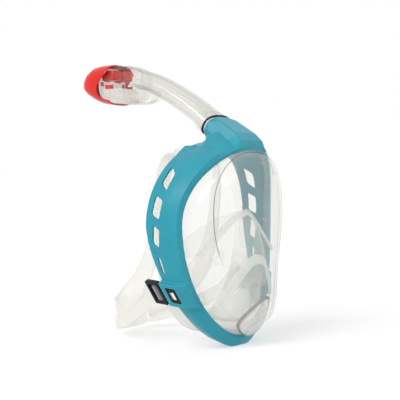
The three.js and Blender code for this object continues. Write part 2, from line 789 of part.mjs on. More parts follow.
// The tube's three channels: intake in the middle, one exhaust each side.
function channelShapes([wide, thick], wall) {
  const inner = [wide - 2 * wall, thick - 2 * wall];
  const rib = 1.4;
  const split = inner[0] * 0.24;
  const outline = ovalPoints(inner);
  const clip = (low, high) => {
    const side = outline.filter(([x]) => x > low && x < high);
    const edgeY = (x) => (inner[1] / 2) * (1 - Math.abs((2 * x) / inner[0]) ** 2.6) ** (1 / 2.6);
    const corners = [low, high]
      .filter((x) => Math.abs(x) < inner[0] / 2)
      .flatMap((x) => [[x, edgeY(x)], [x, -edgeY(x)]]);
    const all = [...side, ...corners];
    const middle = all.reduce(([a, b], [x, y]) => [a + x / all.length, b + y / all.length], [0, 0]);
    return all.sort(
      (p, q) =>
        Math.atan2(p[1] - middle[1], p[0] - middle[0]) -
        Math.atan2(q[1] - middle[1], q[0] - middle[0]),
    );
  };
  return [
    clip(-inner[0], -split - rib / 2),
    clip(-split + rib / 2, split - rib / 2),
    clip(split + rib / 2, inner[0]),
  ];
}

// The tube's outline without its channels, to cut clearance for it in other pieces.
function tubeSweep(clearance) {
  const [wide, thick] = OVAL.tube;
  const outline = ovalPoints([wide + 2 * clearance, thick + 2 * clearance]);
  const shape = new THREE.Shape(outline.map(([x, y]) => new THREE.Vector2(x, y)));
  return new THREE.ExtrudeGeometry(shape, {
    extrudePath: TUBE_LINE,
    steps: TUBE_STEPS,
    bevelEnabled: false,
  });
}

function channelled(size, wall, path, steps) {
  const toVectors = (points) => points.map(([x, y]) => new THREE.Vector2(x, y));
  const shape = new THREE.Shape(toVectors(ovalPoints(size)));
  shape.holes = channelShapes(size, wall).map((points) => new THREE.Path(toVectors(points)));
  return new THREE.ExtrudeGeometry(shape, { extrudePath: path, steps, bevelEnabled: false });
}

function snorkelTube() {
  const start = MOUTH.clone().addScaledVector(NECK_AXIS, -SPIGOT_LENGTH);
  const end = MOUTH.clone().addScaledVector(NECK_AXIS, 5.05);
  const spigot = channelled(OVAL.spigot, 1.6, new THREE.LineCurve3(start, end), 1);
  const tube = channelled(OVAL.tube, TUBE_WALL, TUBE_LINE, TUBE_STEPS);
  return toGeometry(toSolid(spigot).add(toSolid(tube)));
}

// The liner that the tube plugs into, with a flange on the frame's mouth.
function socketSleeve() {
  const flange = ovalSleeve(OVAL.flange, OVAL.sleeveBore, GAP, 1.5);
  const liner = ovalSleeve(OVAL.sleeve, OVAL.sleeveBore, -32, 1);
  return join(flange, liner);
}

// The cuff round the tube that stops it at the O-ring.
function tubeCollar() {
  const [wide, thick] = OVAL.tube;
  const straightStart = ovalBar([wide + 2 * GAP, thick + 2 * GAP], 2, 8);
  return cut(ovalBar(OVAL.collar, 4.7, 14), tubeSweep(GAP), straightStart);
}

const RING_AT = 1.9; // where the O-ring starts, over the socket's mouth
function oRing() {
  const [wide, thick] = OVAL.ring;
  const outlines = [];
  for (const [x, y] of ovalPoints(OVAL.ring, 32)) {
    const outward = new THREE.Vector2(x / wide ** 2, y / thick ** 2).normalize();
    const section = [];
    for (let k = 0; k < 8; k++) {
      const a = (Math.PI * k) / 4;
      section.push(
        MOUTH.clone()
          .addScaledVector(NECK_AXIS, RING_AT + 1.2 + 1.15 * Math.sin(a))
          .addScaledVector(ACROSS, x + outward.x * (1.3 * Math.cos(a) + 0.9))
          .addScaledVector(NECK_UP, y + outward.y * (1.3 * Math.cos(a) + 0.9)),
      );
    }
    outlines.push(section);
  }
  return loft(outlines, true);
}

// The dry top: sections across the head of the snorkel, from the tube to the cap.
const HEAD = [
  { y: 117, half: 22, low: 134, high: 168 },
  { y: 123, half: 23, low: 129, high: 169.8 },
  { y: 133, half: 23.8, low: 128.4, high: 170.6 },
  { y: 147, half: 24, low: 129.5, high: 171.2 },
  { y: 161, half: 23.6, low: 131.5, high: 171 },
];
const CAP_END = [
  { y: 170, half: 23, low: 135, high: 169.6 },
  { y: 178, half: 21.4, low: 139.5, high: 164.5 },
  { y: 183, half: 18.5, low: 143.5, high: 158 },
];

// The head's section at any y between its ends.
function headAt(y) {
  const above = Math.max(HEAD.findIndex((s) => s.y >= y), 1);
  const [a, b] = [HEAD[above - 1], HEAD[above]];
  const share = (y - a.y) / (b.y - a.y);
  const mix = (key) => a[key] + share * (b[key] - a[key]);
  return { y, half: mix("half"), low: mix("low"), high: mix("high") };
}

const headLoop = ({ y, half, low, high }, inset, steps = 24) =>
  ovalPoints([2 * (half - inset), high - low - 2 * inset], steps, 3).map(
    ([x, z]) => new THREE.Vector3(x, y, (low + high) / 2 + z),
  );

const HEAD_WALL = 1.7;
function dryTopBody() {
  const outer = HEAD.map((s) => headLoop(s, 0));
  const last = HEAD.at(-1);
  const inner = HEAD.slice(1).map((s) => headLoop(s, HEAD_WALL));
  const shell = loft([...outer, headLoop(last, HEAD_WALL), ...inner.toReversed().slice(1)]);
  const ports = [-1, 0, 1].map((k) =>
    new THREE.BoxGeometry(3, 3.4, 12).translate(k * 7, 128, 128.5),
  );
  return cut(shell, tubeSweep(GAP), ...ports);
}

// The cap wraps the open end, with a tongue over the top and one under the bottom.
function dryTopCap() {
  const sections = [headAt(139), HEAD[3], HEAD[4], ...CAP_END];
  const inner = sections.slice(0, -1).map((s) => headLoop(s, -GAP));
  const outer = sections.map((s) => headLoop(s, -1.9));
  const end = headLoop({ ...CAP_END.at(-1), y: 184.6 }, 3);
  const shell = loft([end, ...outer.toReversed(), ...inner]);
  const sideWindow = () => {
    const shape = new THREE.Shape();
    shape.moveTo(-40, 9);
    shape.lineTo(1, 12.5);
    shape.quadraticCurveTo(11, 0, 4, -12);
    shape.lineTo(-40, -12.5);
    return new THREE.ExtrudeGeometry(shape, { depth: 120, bevelEnabled: false, curveSegments: 5 })
      .rotateX(Math.PI / 2)
      .rotateZ(Math.PI / 2)
      .translate(-60, 151.5, 150);
  };
  return cut(shell, sideWindow());
}

// The plate across the head that the floats lift off from, with one port for each channel.
const PLATE_Y = 126;
function valvePlate() {
  const faces = [headAt(PLATE_Y), headAt(PLATE_Y + 1.8)];
  const plate = loft(faces.map((s) => headLoop(s, HEAD_WALL + GAP)));
  const port = (x, z, wide, tall) =>
    new THREE.BoxGeometry(wide, 8, tall).translate(x, PLATE_Y + 1, z);
  return cut(plate, port(-9.5, 161.5, 11, 9), port(9.5, 161.5, 11, 9), port(0, 137.5, 22, 6));
}

const FLOAT = { wide: 15.5, long: 12, tall: 11.6, y: 148, z: 160.6, x: 9.6 };
const floatBlock = () => {
  const loop = (y, inset) =>
    ovalPoints([FLOAT.wide - inset, FLOAT.tall - inset], 20, 4).map(
      ([x, z]) => new THREE.Vector3(FLOAT.x + x, y, FLOAT.z + z),
    );
  const [near, far] = [FLOAT.y - FLOAT.long / 2, FLOAT.y + FLOAT.long / 2];
  return loft([loop(near, 2), loop(near + 1, 0), loop(far - 1, 0), loop(far, 2)]);
};

// The pad that the floats press shut, on pegs inside the cap.
const SEAL = { wide: 37, tall: 14, near: 162.5, far: 165, drop: 0.6 };
const sealPad = () =>
  loft(
    [SEAL.near, SEAL.far].map((y) =>
      ovalPoints([SEAL.wide, SEAL.tall], 24, 4).map(
        ([x, z]) => new THREE.Vector3(x, y, FLOAT.z - SEAL.drop + z),
      ),
    ),
  );

// The ribbed exhaust hood under the tube, just before the head.
function exhaustHood() {
  const sections = [
    { y: 99, half: 16, low: 132.5, high: 146 },
    { y: 105, half: 19.5, low: 128.6, high: 146 },
    { y: 116.4, half: 21, low: 127.4, high: 146 },
  ];
  const shell = loft(sections.map((s) => headLoop(s, 0)));
  const room = [{ ...sections[0], y: 100.5 }, sections[1], { ...sections[2], y: 120 }];
  const hollow = loft(room.map((s) => headLoop({ ...s, high: s.high + 6 }, 1.5)));
  const vents = [-2, -1, 0, 1, 2].map((k) =>
    new THREE.BoxGeometry(3.2, 7, 6).translate(k * 6, 110, 127),
  );
  return cut(shell, hollow, tubeSweep(GAP), ...vents);
}

// Each side channel breathes out through a port in the tube's underside, shut by a hinged flap.
const EXHAUST = { x: 13, y: 108, z: 144.2, pitch: 16, long: 7.5, wide: 7.5, thick: 0.9 };
const exhaustFrame = () =>
  new THREE.Matrix4()
    .makeRotationX(THREE.MathUtils.degToRad(EXHAUST.pitch))
    .setPosition(EXHAUST.x, EXHAUST.y, EXHAUST.z);
const exhaustFlap = () =>
  boxAt(exhaustFrame(), 0, 0, -EXHAUST.thick / 2, EXHAUST.wide, EXHAUST.long, EXHAUST.thick);
const exhaustPort = () =>
  boxAt(exhaustFrame(), 0.5, 0, 2.5, EXHAUST.wide - 3, EXHAUST.long - 3, 9);

// ---------------------------------------------------------------- buckles and straps

const ROLLER = { radius: 2.7, x: 8.4, z: 0 };

// The black buckle: a frame round the roller, and a tongue that plugs into the side pad.
function buckle() {
  const { width, height, thick } = BUCKLE_SIZE;
  const frame = boxAt(BUCKLE_FRAME, width / 2 + 0.6, 0, 0, width, height, thick);
  const opening = boxAt(BUCKLE_FRAME, width / 2 + 0.6, 0, 0, width - 4.6, height - 6, thick + 4);
  const neckPlate = boxAt(BUCKLE_FRAME, 0.4, 0, -2.2, 3.6, TONGUE.tall, 1.6);
  const { long, tall, thick: tongueThick } = TONGUE;
  const tongue = boxAt(BUCKLE_FRAME, 0.6 - long / 2, 0, TONGUE_DEPTH, long, tall, tongueThick);
  const pivotHole = boxAt(BUCKLE_FRAME, ROLLER.x, 0, 0, 2.6, height - 2.2, 2.6);
  return cut(join(frame, neckPlate, tongue), opening, pivotHole);
}

function strapRoller() {
  const { height } = BUCKLE_SIZE;
  const length = height - 8.9;
  const outline = [
    [0, -height / 2 + 1.6],
    [1, -height / 2 + 1.6],
    [1, -length / 2],
    [ROLLER.radius, -length / 2],
    [ROLLER.radius, length / 2],
    [1, length / 2],
    [1, height / 2 - 1.6],
    [0, height / 2 - 1.6],
  ].map(([r, h]) => new THREE.Vector2(r, h));
  const square = new THREE.Matrix4()
    .makeBasis(new THREE.Vector3().crossVectors(BUCKLE_Y, BUCKLE_OUT), BUCKLE_Y, BUCKLE_OUT)
    .setPosition(buckleAt(ROLLER.x, 0, ROLLER.z));
  return new THREE.LatheGeometry(outline, 12).applyMatrix4(square);
}

function releaseButton() {
  const { centre, deep, tall, thick } = BUTTON;
  return boxAt(BUCKLE_FRAME, centre, 0, BUTTON_TOP - thick / 2, deep, tall, thick);
}

// A flat band along stations of {at, across, wide}: `across` is the band's width direction.
function band(stations, thick) {
  const line = new THREE.CatmullRomCurve3(stations.map((s) => s.at));
  const outlines = stations.map((s, i) => {
    const tangent = line.getTangent(i / (stations.length - 1));
    const across = s.across.clone().addScaledVector(tangent, -s.across.dot(tangent)).normalize();
    const normal = new THREE.Vector3().crossVectors(tangent, across);
    return [
      [1, 1],
      [-1, 1],
      [-1, -1],
      [1, -1],
    ].map(([u, v]) =>
      s.at
        .clone()
        .addScaledVector(across, (u * s.wide) / 2)
        .addScaledVector(normal, (v * thick) / 2),
    );
  });
  return loft(outlines);
}

const STRAP_THICK = 2.2;
const v3 = (x, y, z) => new THREE.Vector3(x, y, z);

// The upper arm runs from the frame's top corner, behind the wing, down to the rear pad.
const upperArm = () =>
  band(
    [
      { at: v3(39, 23, 72.4), across: v3(0.84, 0, -0.54), wide: 13 },
      { at: v3(39.1, 30, 72.4), across: v3(0.84, 0, -0.54), wide: 13 },
      { at: v3(40, 38, 72), across: v3(0.84, 0.1, -0.5), wide: 14 },
      { at: v3(45, 43.5, 60), across: v3(0.6, 0.7, -0.1), wide: 15 },
      { at: v3(49, 48, 36), across: v3(0.25, 0.95, 0.1), wide: 15 },
      { at: v3(51, 52, 8), across: v3(0.1, 0.97, 0.2), wide: 15 },
      { at: v3(50.5, 57, -22), across: v3(0, 0.9, 0.42), wide: 17 },
      { at: v3(50, 66, -46), across: v3(-0.1, 0.8, 0.6), wide: 22 },
      { at: v3(47, 82, -68), across: v3(-0.15, 0.65, 0.74), wide: 27 },
      { at: v3(36, 108, -87), across: v3(-0.25, 0.4, 0.88), wide: 31 },
      { at: v3(22, 131.5, -101), across: v3(-0.2, 0.2, 0.95), wide: 32 },
    ],
    STRAP_THICK,
  );

// The rear pad sits under the back of the head.
const rearPad = () =>
  band(
    [-24, -16, -8, 0, 8, 16, 24].map((x) => ({
      at: v3(x, 139 - 0.013 * x * x, -107 + 0.006 * x * x),
      across: v3(0, 0.25, 1),
      wide: 36,
    })),
    STRAP_THICK,
  );

// The lower strap runs from the rear pad to the roller in the buckle.
const lowerStrap = () =>
  band(
    [
      { at: v3(28.5, 129, -114), across: v3(0, 0.25, 1), wide: 15 },
      { at: v3(42.5, 107, -108.5), across: v3(0, 0.1, 1), wide: 15 },
      { at: v3(57, 76, -95), across: v3(0.1, 0.1, 1), wide: 15 },
      { at: v3(67, 52, -80), across: v3(0.3, 0.15, 0.95), wide: 15 },
      { at: buckleAt(20, 0, -4.3), across: buckleAcross, wide: 15 },
      { at: buckleAt(6, 0, -4.3), across: buckleAcross, wide: 15 },
    ],
    STRAP_THICK,
  );

// ---------------------------------------------------------------- retaining ring and screws

const retainingProfile = () => [
  [-3.1, 4.95],
  [SHOULDER.out - 0.4, 4.95],
  [SHOULDER.out - 0.4, 7.2],
  [-3.1, 7.2],
];

const SCREW_ANGLES = [38, 90, 142, 218, 270, 322].map((deg) => THREE.MathUtils.degToRad(deg));
const screwSite = (t) => frameOn(off(t, 2.3, 6.4), new THREE.Vector3(0, 1, 0));

function screw(t) {
  const outline = [
    [0, -6.4],
    [0.85, -6.4],
    [0.85, GAP],
    [1.9, GAP],
    [1.9, 1.2],
    [1.2, 1.6],
    [0, 1.6],
  ].map(([r, h]) => new THREE.Vector2(r, h));
  return new THREE.LatheGeometry(outline, 10).rotateX(Math.PI / 2).applyMatrix4(screwSite(t));
}
const screwHoles = (t) => [
  cylinderAt(screwSite(t), 1.2, 15, 10),
  cylinderAt(screwSite(t).multiply(new THREE.Matrix4().makeTranslation(0, 0, 2)), 2.4, 4, 10),
];

// ---------------------------------------------------------------- assembly

const allScrewHoles = SCREW_ANGLES.flatMap(screwHoles);

piece("outer_frame", cut(outerFrame(), ...allScrewHoles), MATERIAL.turquoise);
piece("lens", cut(lensShell(), drainHole()), MATERIAL.lens);
piece("face_skirt", cut(ring(skirtProfile), ovalBar(OVAL.bore, -60, -20)), MATERIAL.silicone);
piece("retaining_ring", cut(ring(retainingProfile), ...allScrewHoles), MATERIAL.clearPlastic);
SCREW_ANGLES.forEach((t, i) => piece(`ring_screw_${i + 1}`, screw(t), MATERIAL.steel));

const pocketHoles = [valveHole(INHALE, VALVE.inhale), valveHole(EXHALE, VALVE.exhale)];
piece("nose_pocket", cut(pocketBody(), ...pocketHoles.flatMap(bothSides)), MATERIAL.silicone);
pair("inhale_valve_seat", valveSeat(INHALE, VALVE.inhale), MATERIAL.clearPlastic);
pair("inhale_valve_flap", valveFlap(INHALE, VALVE.inhale, -1), MATERIAL.silicone);
pair("exhale_valve_seat", valveSeat(EXHALE, VALVE.exhale), MATERIAL.clearPlastic);
pair("exhale_valve_flap", valveFlap(EXHALE, VALVE.exhale, 1), MATERIAL.silicone);

piece("drain_cover", drainCover(), MATERIAL.smoke);
piece("drain_valve_seat", drainSeat(), MATERIAL.clearPlastic);
piece("drain_valve_disc", valveDisc(drainFrame(-2.9), 8.6, 4.5), MATERIAL.silicone);

piece("socket_sleeve", socketSleeve(), MATERIAL.clearPlastic);

piece("snorkel_tube", cut(snorkelTube(), ...bothSides(exhaustPort())), MATERIAL.clearPlastic);
piece("tube_collar", tubeCollar(), MATERIAL.clearPlastic);
piece("tube_o_ring", oRing(), MATERIAL.rubber);
piece("dry_top_body", dryTopBody(), MATERIAL.clearPlastic);
piece("dry_top_cap", dryTopCap(), MATERIAL.red);
piece("valve_plate", valvePlate(), MATERIAL.clearPlastic);
piece("seal_pad", sealPad(), MATERIAL.red);
pair("float", floatBlock(), MATERIAL.red);
piece("exhaust_hood", exhaustHood(), MATERIAL.clearPlastic);
pair("exhaust_flap", exhaustFlap(), MATERIAL.silicone);

pair("buckle", buckle(), MATERIAL.black);
pair("strap_roller", strapRoller(), MATERIAL.grey);
pair("release_button", releaseButton(), MATERIAL.black);
piece("head_strap", join(rearPad(), upperArm(), mirrored(upperArm())), MATERIAL.silicone);
pair("lower_strap", lowerStrap(), MATERIAL.silicone);

mask.position.set(0, -CHIN_FLAT_Y, -CHIN_FLAT_Z);

export default mask;
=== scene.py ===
"""The looks of a full-face snorkel mask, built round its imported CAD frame.

Shapes are worked out in millimetres from the middle of the lens rim, as the CAD's are, and go into
Blender in metres from the middle of the flat under the chin. +X is the wearer's left, -Y is the way
the wearer looks and +Z is up.
"""

from math import cos, exp, pi, radians, sin

import bmesh
import bpy
import numpy as np
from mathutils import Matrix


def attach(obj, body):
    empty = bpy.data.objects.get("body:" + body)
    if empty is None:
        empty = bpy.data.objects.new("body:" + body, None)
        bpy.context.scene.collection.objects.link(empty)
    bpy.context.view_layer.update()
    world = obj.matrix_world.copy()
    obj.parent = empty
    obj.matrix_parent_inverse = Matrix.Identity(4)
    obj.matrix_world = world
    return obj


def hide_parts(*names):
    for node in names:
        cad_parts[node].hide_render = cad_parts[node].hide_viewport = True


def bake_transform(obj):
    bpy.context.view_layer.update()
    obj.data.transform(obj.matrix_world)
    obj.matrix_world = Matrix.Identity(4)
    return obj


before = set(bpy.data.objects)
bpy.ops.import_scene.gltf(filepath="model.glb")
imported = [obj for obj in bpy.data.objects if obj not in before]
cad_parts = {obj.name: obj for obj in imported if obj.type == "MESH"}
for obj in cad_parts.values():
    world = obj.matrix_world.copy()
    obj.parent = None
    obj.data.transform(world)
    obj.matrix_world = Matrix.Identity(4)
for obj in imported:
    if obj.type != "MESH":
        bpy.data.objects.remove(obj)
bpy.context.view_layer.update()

# ---- driving dimensions

MM = 0.001
RIM_ORIGIN = np.array((0.0, 17.0, 128.0))  # the middle of the lens rim, from the chin flat

GAP = 0.35  # clearance between pieces that are assembled but not joined
WALL = 2.6  # wall of the frame moulding

# The lens rim: an egg shape, bent forward at the forehead and at the chin.
RIM = {"half_width": 80, "up": 77, "down": 119, "top_forward": 30, "chin_forward": 20}
# How far back the frame's rear edge reaches, and how far it stands outside the rim.
REAR = {"side": 35, "top_rise": 11.5, "chin_rise": 53.5, "out": 8.4}
# The eye window: the gently crowned front of the lens, inside a soft crease.
WINDOW = {"centre_z": 12, "half_width": 64, "up": 61, "down": 86, "power": 2.3, "y": -30, "centre_y": -44}

NECK_PITCH = radians(31)
OVAL_POWER = 2.6  # 2 is an ellipse, and more is squarer
OVAL = {
    "neck": (46, 24.4),
    "bore": (42.1, 20.6),
    "flange": (45.4, 24),
    "sleeve": (41.4, 19.9),
    "sleeve_bore": (38.8, 17.3),
    "tube": (41, 19.5),
    "spigot": (38, 16.5),
    "collar": (44.8, 23.2),
    "ring": (42, 20.5),
}
LIP = {"cover": 2.5, "front": 3.2, "width": 6.2}  # the bead round the lens
SHOULDER = {"out": 5.4, "back": 4.7}  # the ledge that the retaining ring is screwed to
LENS_WALL = 2.2
SKIRT_WALL = 1.8
POCKET_WALL = 1.8
TUBE_WALL = 1.8
STRAP_THICK = 2.2
BUCKLE = {"x": 76.5, "y": 22, "z": -69, "slope": 25, "lean": 15, "rise": 5}
BUCKLE_SIZE = {"width": 15.5, "height": 26, "thick": 5}
RIM_STEPS = 200  # flat faces round the frame
FRAME_VOXEL = 0.75  # size of the small quads that round the frame's edges
LENS_STEPS = 144
COVER_STEPS = 96


# ---- shape helpers


SQUARE = np.array(((-1, -1), (1, -1), (1, 1), (-1, 1)))


def vec(x, y, z):
    return np.array((x, y, z), float)


def unit(p):
    return p / np.linalg.norm(p)


def mix(a, b, share):
    return a + (b - a) * share


ACROSS = vec(1, 0, 0)
MOUTH = vec(0, 10.3, 100)
NECK_AXIS = vec(0, cos(NECK_PITCH), sin(NECK_PITCH))
NECK_UP = np.cross(ACROSS, NECK_AXIS)


def new_object(name, data):
    """An object that shows the data in the scene."""
    obj = bpy.data.objects.new(name, data)
    bpy.context.scene.collection.objects.link(obj)
    return obj


def rework(mesh, change):
    """Lets the function `change` edit the mesh."""
    work = bmesh.new()
    work.from_mesh(mesh)
    change(work)
    work.to_mesh(mesh)
    work.free()


def new_mesh(name, points, faces):
    """A mesh object from points in millimetres from the rim's middle, its faces turned outwards."""
    mesh = bpy.data.meshes.new(name)
    mesh.from_pydata(((np.asarray(points) + RIM_ORIGIN) * MM).tolist(), [], faces)
    rework(mesh, lambda work: bmesh.ops.recalc_face_normals(work, faces=work.faces))
    return new_object(name, mesh)


def loft(name, loops, closed=False):
    """A skin over a row of loops with equally many points: a closed ring, or with both ends capped."""
    loops = np.asarray(loops)
    rows, n = loops.shape[:2]
    faces = []
    for i in range(rows if closed else rows - 1):
        after = (i + 1) % rows
        for j in range(n):
            k = (j + 1) % n
            faces.append((i * n + j, i * n + k, after * n + k, after * n + j))
    if not closed:
        faces.append(tuple(range(n)))
        faces.append(tuple(range((rows - 1) * n, rows * n)))
    return new_mesh(name, loops.reshape(-1, 3), faces)


def in_material(index, body):
    """Gives a part one of the materials, counted from 0, of the piece that it is about to join."""
    for polygon in body.data.polygons:
        polygon.material_index = index
    return body


def mark(body, values):
    """Stores how much painted shade each point gets, for the materials that draw their dark edge lines from
    it.
    """
    attribute = body.data.attributes.new("line", "FLOAT", "POINT")
    attribute.data.foreach_set("value", np.asarray(values, np.float32))


def turns(steps):
    """Evenly spaced angles of one full turn."""
    return [2 * pi * i / steps for i in range(steps)]


def bezier(a, b, c, s):
    """The point at share s of the curve from a to c that leans towards b."""
    return (1 - s) ** 2 * a + 2 * s * (1 - s) * b + s * s * c


def rounded(corners, radius, arc=4):
    """A closed outline with each corner turned by a curve that starts `radius` before it."""
    corners = np.asarray(corners, float)
    out = []
    for i, corner in enumerate(corners):
        ends = []
        for other in (corners[i - 1], corners[(i + 1) % len(corners)]):
            length = np.linalg.norm(other - corner)
            ends.append(corner + (other - corner) * min(radius / max(length, 1e-6), 0.45))
        out += [bezier(ends[0], corner, ends[1], k / arc) for k in range(arc + 1)]
    return np.array(out)


def spline(points, steps):
    """A Catmull-Rom curve through the points, with `steps` samples to each stretch."""
    p = np.asarray(points, float)
    p = np.vstack([2 * p[0] - p[1], p, 2 * p[-1] - p[-2]])
    out = []
    for a, b, c, d in zip(p, p[1:], p[2:], p[3:]):
        start, end, rise = (c - a) / 2, (d - b) / 2, c - b
        for s in np.arange(steps) / steps:
            curve = (3 * rise - 2 * start - end) * s**2 + (start + end - 2 * rise) * s**3
            out.append(b + start * s + curve)
    return np.array(out + [p[-2]])


def bent(value, power):
    """A sine or cosine, changed so that the circle becomes a squarer oval."""
    return np.sign(value) * np.abs(value) ** (2 / power)


def oval(wide, thick, steps=72, power=OVAL_POWER):
    """Points of a rounded oval of that full size, squarer than an ellipse."""
    a = np.array(turns(steps))
    return np.column_stack([wide / 2 * bent(np.cos(a), power), thick / 2 * bent(np.sin(a), power)])


def tangent(path, i):
    return unit(path[min(i + 1, len(path) - 1)] - path[max(i - 1, 0)])


def on_neck(outline, along):
    """The flat outline, placed square to the neck's axis, `along` mm out of the mouth."""
    middle = MOUTH + NECK_AXIS * along
    return middle + np.outer(outline[:, 0], ACROSS) + np.outer(outline[:, 1], NECK_UP)


def neck_bar(name, size, start, end, steps=72):
    """An oval bar along the neck's axis."""
    return loft(name, [on_neck(oval(*size, steps), along) for along in (start, end)])


def bake(obj):
    """Applies the object's modifiers."""
    graph = bpy.context.evaluated_depsgraph_get()
    mesh = bpy.data.meshes.new_from_object(obj.evaluated_get(graph), depsgraph=graph)
    obj.modifiers.clear()
    obj.data = mesh
    return obj


def combine(obj, operation, *others):
    for other in others:
        boolean = obj.modifiers.new("boolean", "BOOLEAN")
        boolean.operation = operation
        boolean.solver = "MANIFOLD"
        boolean.object = other
        bake(obj)
        bpy.data.objects.remove(other)
    return obj


def join(obj, *others):
    return combine(obj, "UNION", *others)


def cut(obj, *tools):
    return combine(obj, "DIFFERENCE", *tools)


def soften(obj, voxel, smoothing):
    """Remeshes to small even quads and smooths them, which rounds every edge a little."""
    remesh = obj.modifiers.new("remesh", "REMESH")
    remesh.mode = "VOXEL"
    remesh.voxel_size = voxel * MM
    smooth = obj.modifiers.new("smooth", "SMOOTH")
    smooth.factor = 0.5
    smooth.iterations = smoothing
    return bake(obj)


def bevel(obj, width, segments=3, angle=30):
    rounding = obj.modifiers.new("bevel", "BEVEL")
    rounding.width = width * MM
    rounding.segments = segments
    rounding.limit_method = "ANGLE"
    rounding.angle_limit = radians(angle)
    return bake(obj)


def append(obj, *others):
    """Puts the others' meshes into obj, as separate closed shells of one piece."""
    for other in others:
        rework(obj.data, lambda work, mesh=other.data: work.from_mesh(mesh))
        bpy.data.objects.remove(other)
    return obj


def mirrored(obj, name):
    """A copy of the object on the other side of the mask."""

    def flip(work):
        bmesh.ops.scale(work, vec=(-1, 1, 1), verts=work.verts)
        bmesh.ops.reverse_faces(work, faces=work.faces)

    mesh = obj.data.copy()
    rework(mesh, flip)
    return new_object(name, mesh)


def both_sides(obj):
    return obj, mirrored(obj, obj.name + "_twin")


class Place:
    """A set of axes at a point, for shapes that are built square to them."""

    def __init__(self, x, y, z, origin):
        self.axes = np.array([x, y, z])
        self.origin = origin

    def at(self, points):
        return np.asarray(points, float) @ self.axes + self.origin


def block(name, place, centre, size, corner=0.0):
    """A block of that full size, square to the place's axes, with its upright corners rounded."""
    w, h, d = (s / 2 for s in size)
    corners = SQUARE * (w, h)
    outline = rounded(corners, corner) if corner else corners
    return loft(name, [place.at(np.insert(outline, 2, level, axis=1) + centre) for level in (-d, d)])


def drum(name, place, radius, half):
    """A cylinder about the place's z axis, reaching `half` to both sides."""
    circle = [(radius * cos(a), radius * sin(a)) for a in turns(48)]
    return loft(name, [place.at(np.insert(circle, 2, h, axis=1)) for h in (-half, half)])


def paint(obj, *materials):
    obj.data.materials.clear()
    for material in materials:
        obj.data.materials.append(material)


def show(obj, body, material, node, sharp=35):
    """Finishes a piece: its shading, its material, its body and the CAD node it stands for."""
    obj.data.shade_smooth()
    obj.data.set_sharp_from_angle(angle=radians(sharp))
    if not any(obj.data.materials):
        paint(obj, material)
    if body:
        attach(obj, body)
    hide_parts(node)


def show_pair(left, body, material, node, sharp=35):
    """Finishes a left piece and its mirror image; their bodies and CAD nodes end in left and right."""
    right = mirrored(left, left.name.replace("left", "right"))
    for side, piece in (("left", left), ("right", right)):
        show(piece, body and body + side, material, node + side, sharp)
    return left, right


# ---- materials


def colour(*screen):
    """A colour from three 0-255 screen values."""
    linear = [v / 255 / 12.92 if v < 10.3 else ((v / 255 + 0.055) / 1.055) ** 2.4 for v in screen]
    return (*linear, 1)


def feed(tree, sockets, values):
    """Gives node inputs their values; a value may be another node's output."""
    for socket, value in zip(sockets, values):
        if isinstance(value, bpy.types.NodeSocket):
            tree.links.new(value, socket)
        else:
            socket.default_value = value


def add(tree, kind, result, settings=None, **inputs):
    """A new shader node's output `result`, after the node has got its settings and inputs."""
    made = tree.nodes.new("ShaderNode" + kind)
    for key, value in (settings or {}).items():
        setattr(made, key, value)
    feed(tree, [made.inputs[key.replace("_", " ")] for key in inputs], inputs.values())
    return made.outputs[result]


def ramp(tree, factor, *stops):
    """A colour ramp over (position, colour) stops."""
    made = add(tree, "ValToRGB", "Color", Fac=factor)
    elements = made.node.color_ramp.elements
    while len(elements) < len(stops):
        elements.new(0.5)
    for element, (position, value) in zip(elements, stops):
        element.position = position
        element.color = value
    return made


def spread(tree, value, low, high, from_low=0.3, from_high=0.7):
    """A value moved from one range to another."""
    ranges = {"From_Min": from_low, "From_Max": from_high, "To_Min": low, "To_Max": high}
    return add(tree, "MapRange", "Result", Value=value, **ranges)


def mix_colour(tree, share, first, second):
    return add(tree, "MixRGB", "Color", Fac=share, Color1=first, Color2=second)


def mix_shader(tree, share, first, second):
    mixed = add(tree, "MixShader", "Shader", Fac=share)
    feed(tree, mixed.node.inputs[1:], (first, second))
    return mixed


def new_material(name):
    made = bpy.data.materials.new(name)
    made.use_nodes = True
    made.node_tree.nodes.clear()
    return made, made.node_tree


def noise(tree, scale, detail=3.0):
    where = add(tree, "TexCoord", "Object")
    return add(tree, "TexNoise", "Fac", Vector=where, Scale=scale, Detail=detail)


def skin(tree, tone, grain, rough, bump, depth, **more):
    """A surface whose roughness and relief follow the grain."""
    relief = add(tree, "Bump", "Normal", Height=grain, Strength=bump, Distance=depth)
    more["Roughness"] = spread(tree, grain, *rough)
    return add(tree, "BsdfPrincipled", "BSDF", Base_Color=tone, Normal=relief, **more)


def output(tree, surface, kind="Material"):
    tree.links.new(surface, tree.nodes.new("ShaderNodeOutput" + kind).inputs["Surface"])


def shade(value, gain):
    return tuple(min(v * gain, 1) for v in value[:3]) + (1,)


def solid_plastic(name, base, rough, coat=0.2, vary=0.08, edge_highlight=1.35):
    """Moulded plastic: cloudy colour, fine grain, and sharp edges made paler as a painted highlight."""
    made, tree = new_material(name)
    base = colour(*base)
    tone = ramp(tree, noise(tree, 38), (0.3, shade(base, 1 - vary)), (0.7, shade(base, 1 + vary)))
    # painted highlight: the sharp outer edges, found by their pointiness, are made paler as if they caught
    # the light
    highlight_share = spread(tree, add(tree, "NewGeometry", "Pointiness"), 0, 0.5, 0.53, 0.6)
    highlit_tone = mix_colour(tree, highlight_share, tone, shade(base, edge_highlight))
    shine = {"Specular_IOR_Level": 0.3, "Coat_Weight": coat, "Coat_Roughness": 0.15}
    output(tree, skin(tree, highlit_tone, noise(tree, 900, 2), (rough - 0.06, rough + 0.08), 0.05, 0.0003, **shine))
    return made


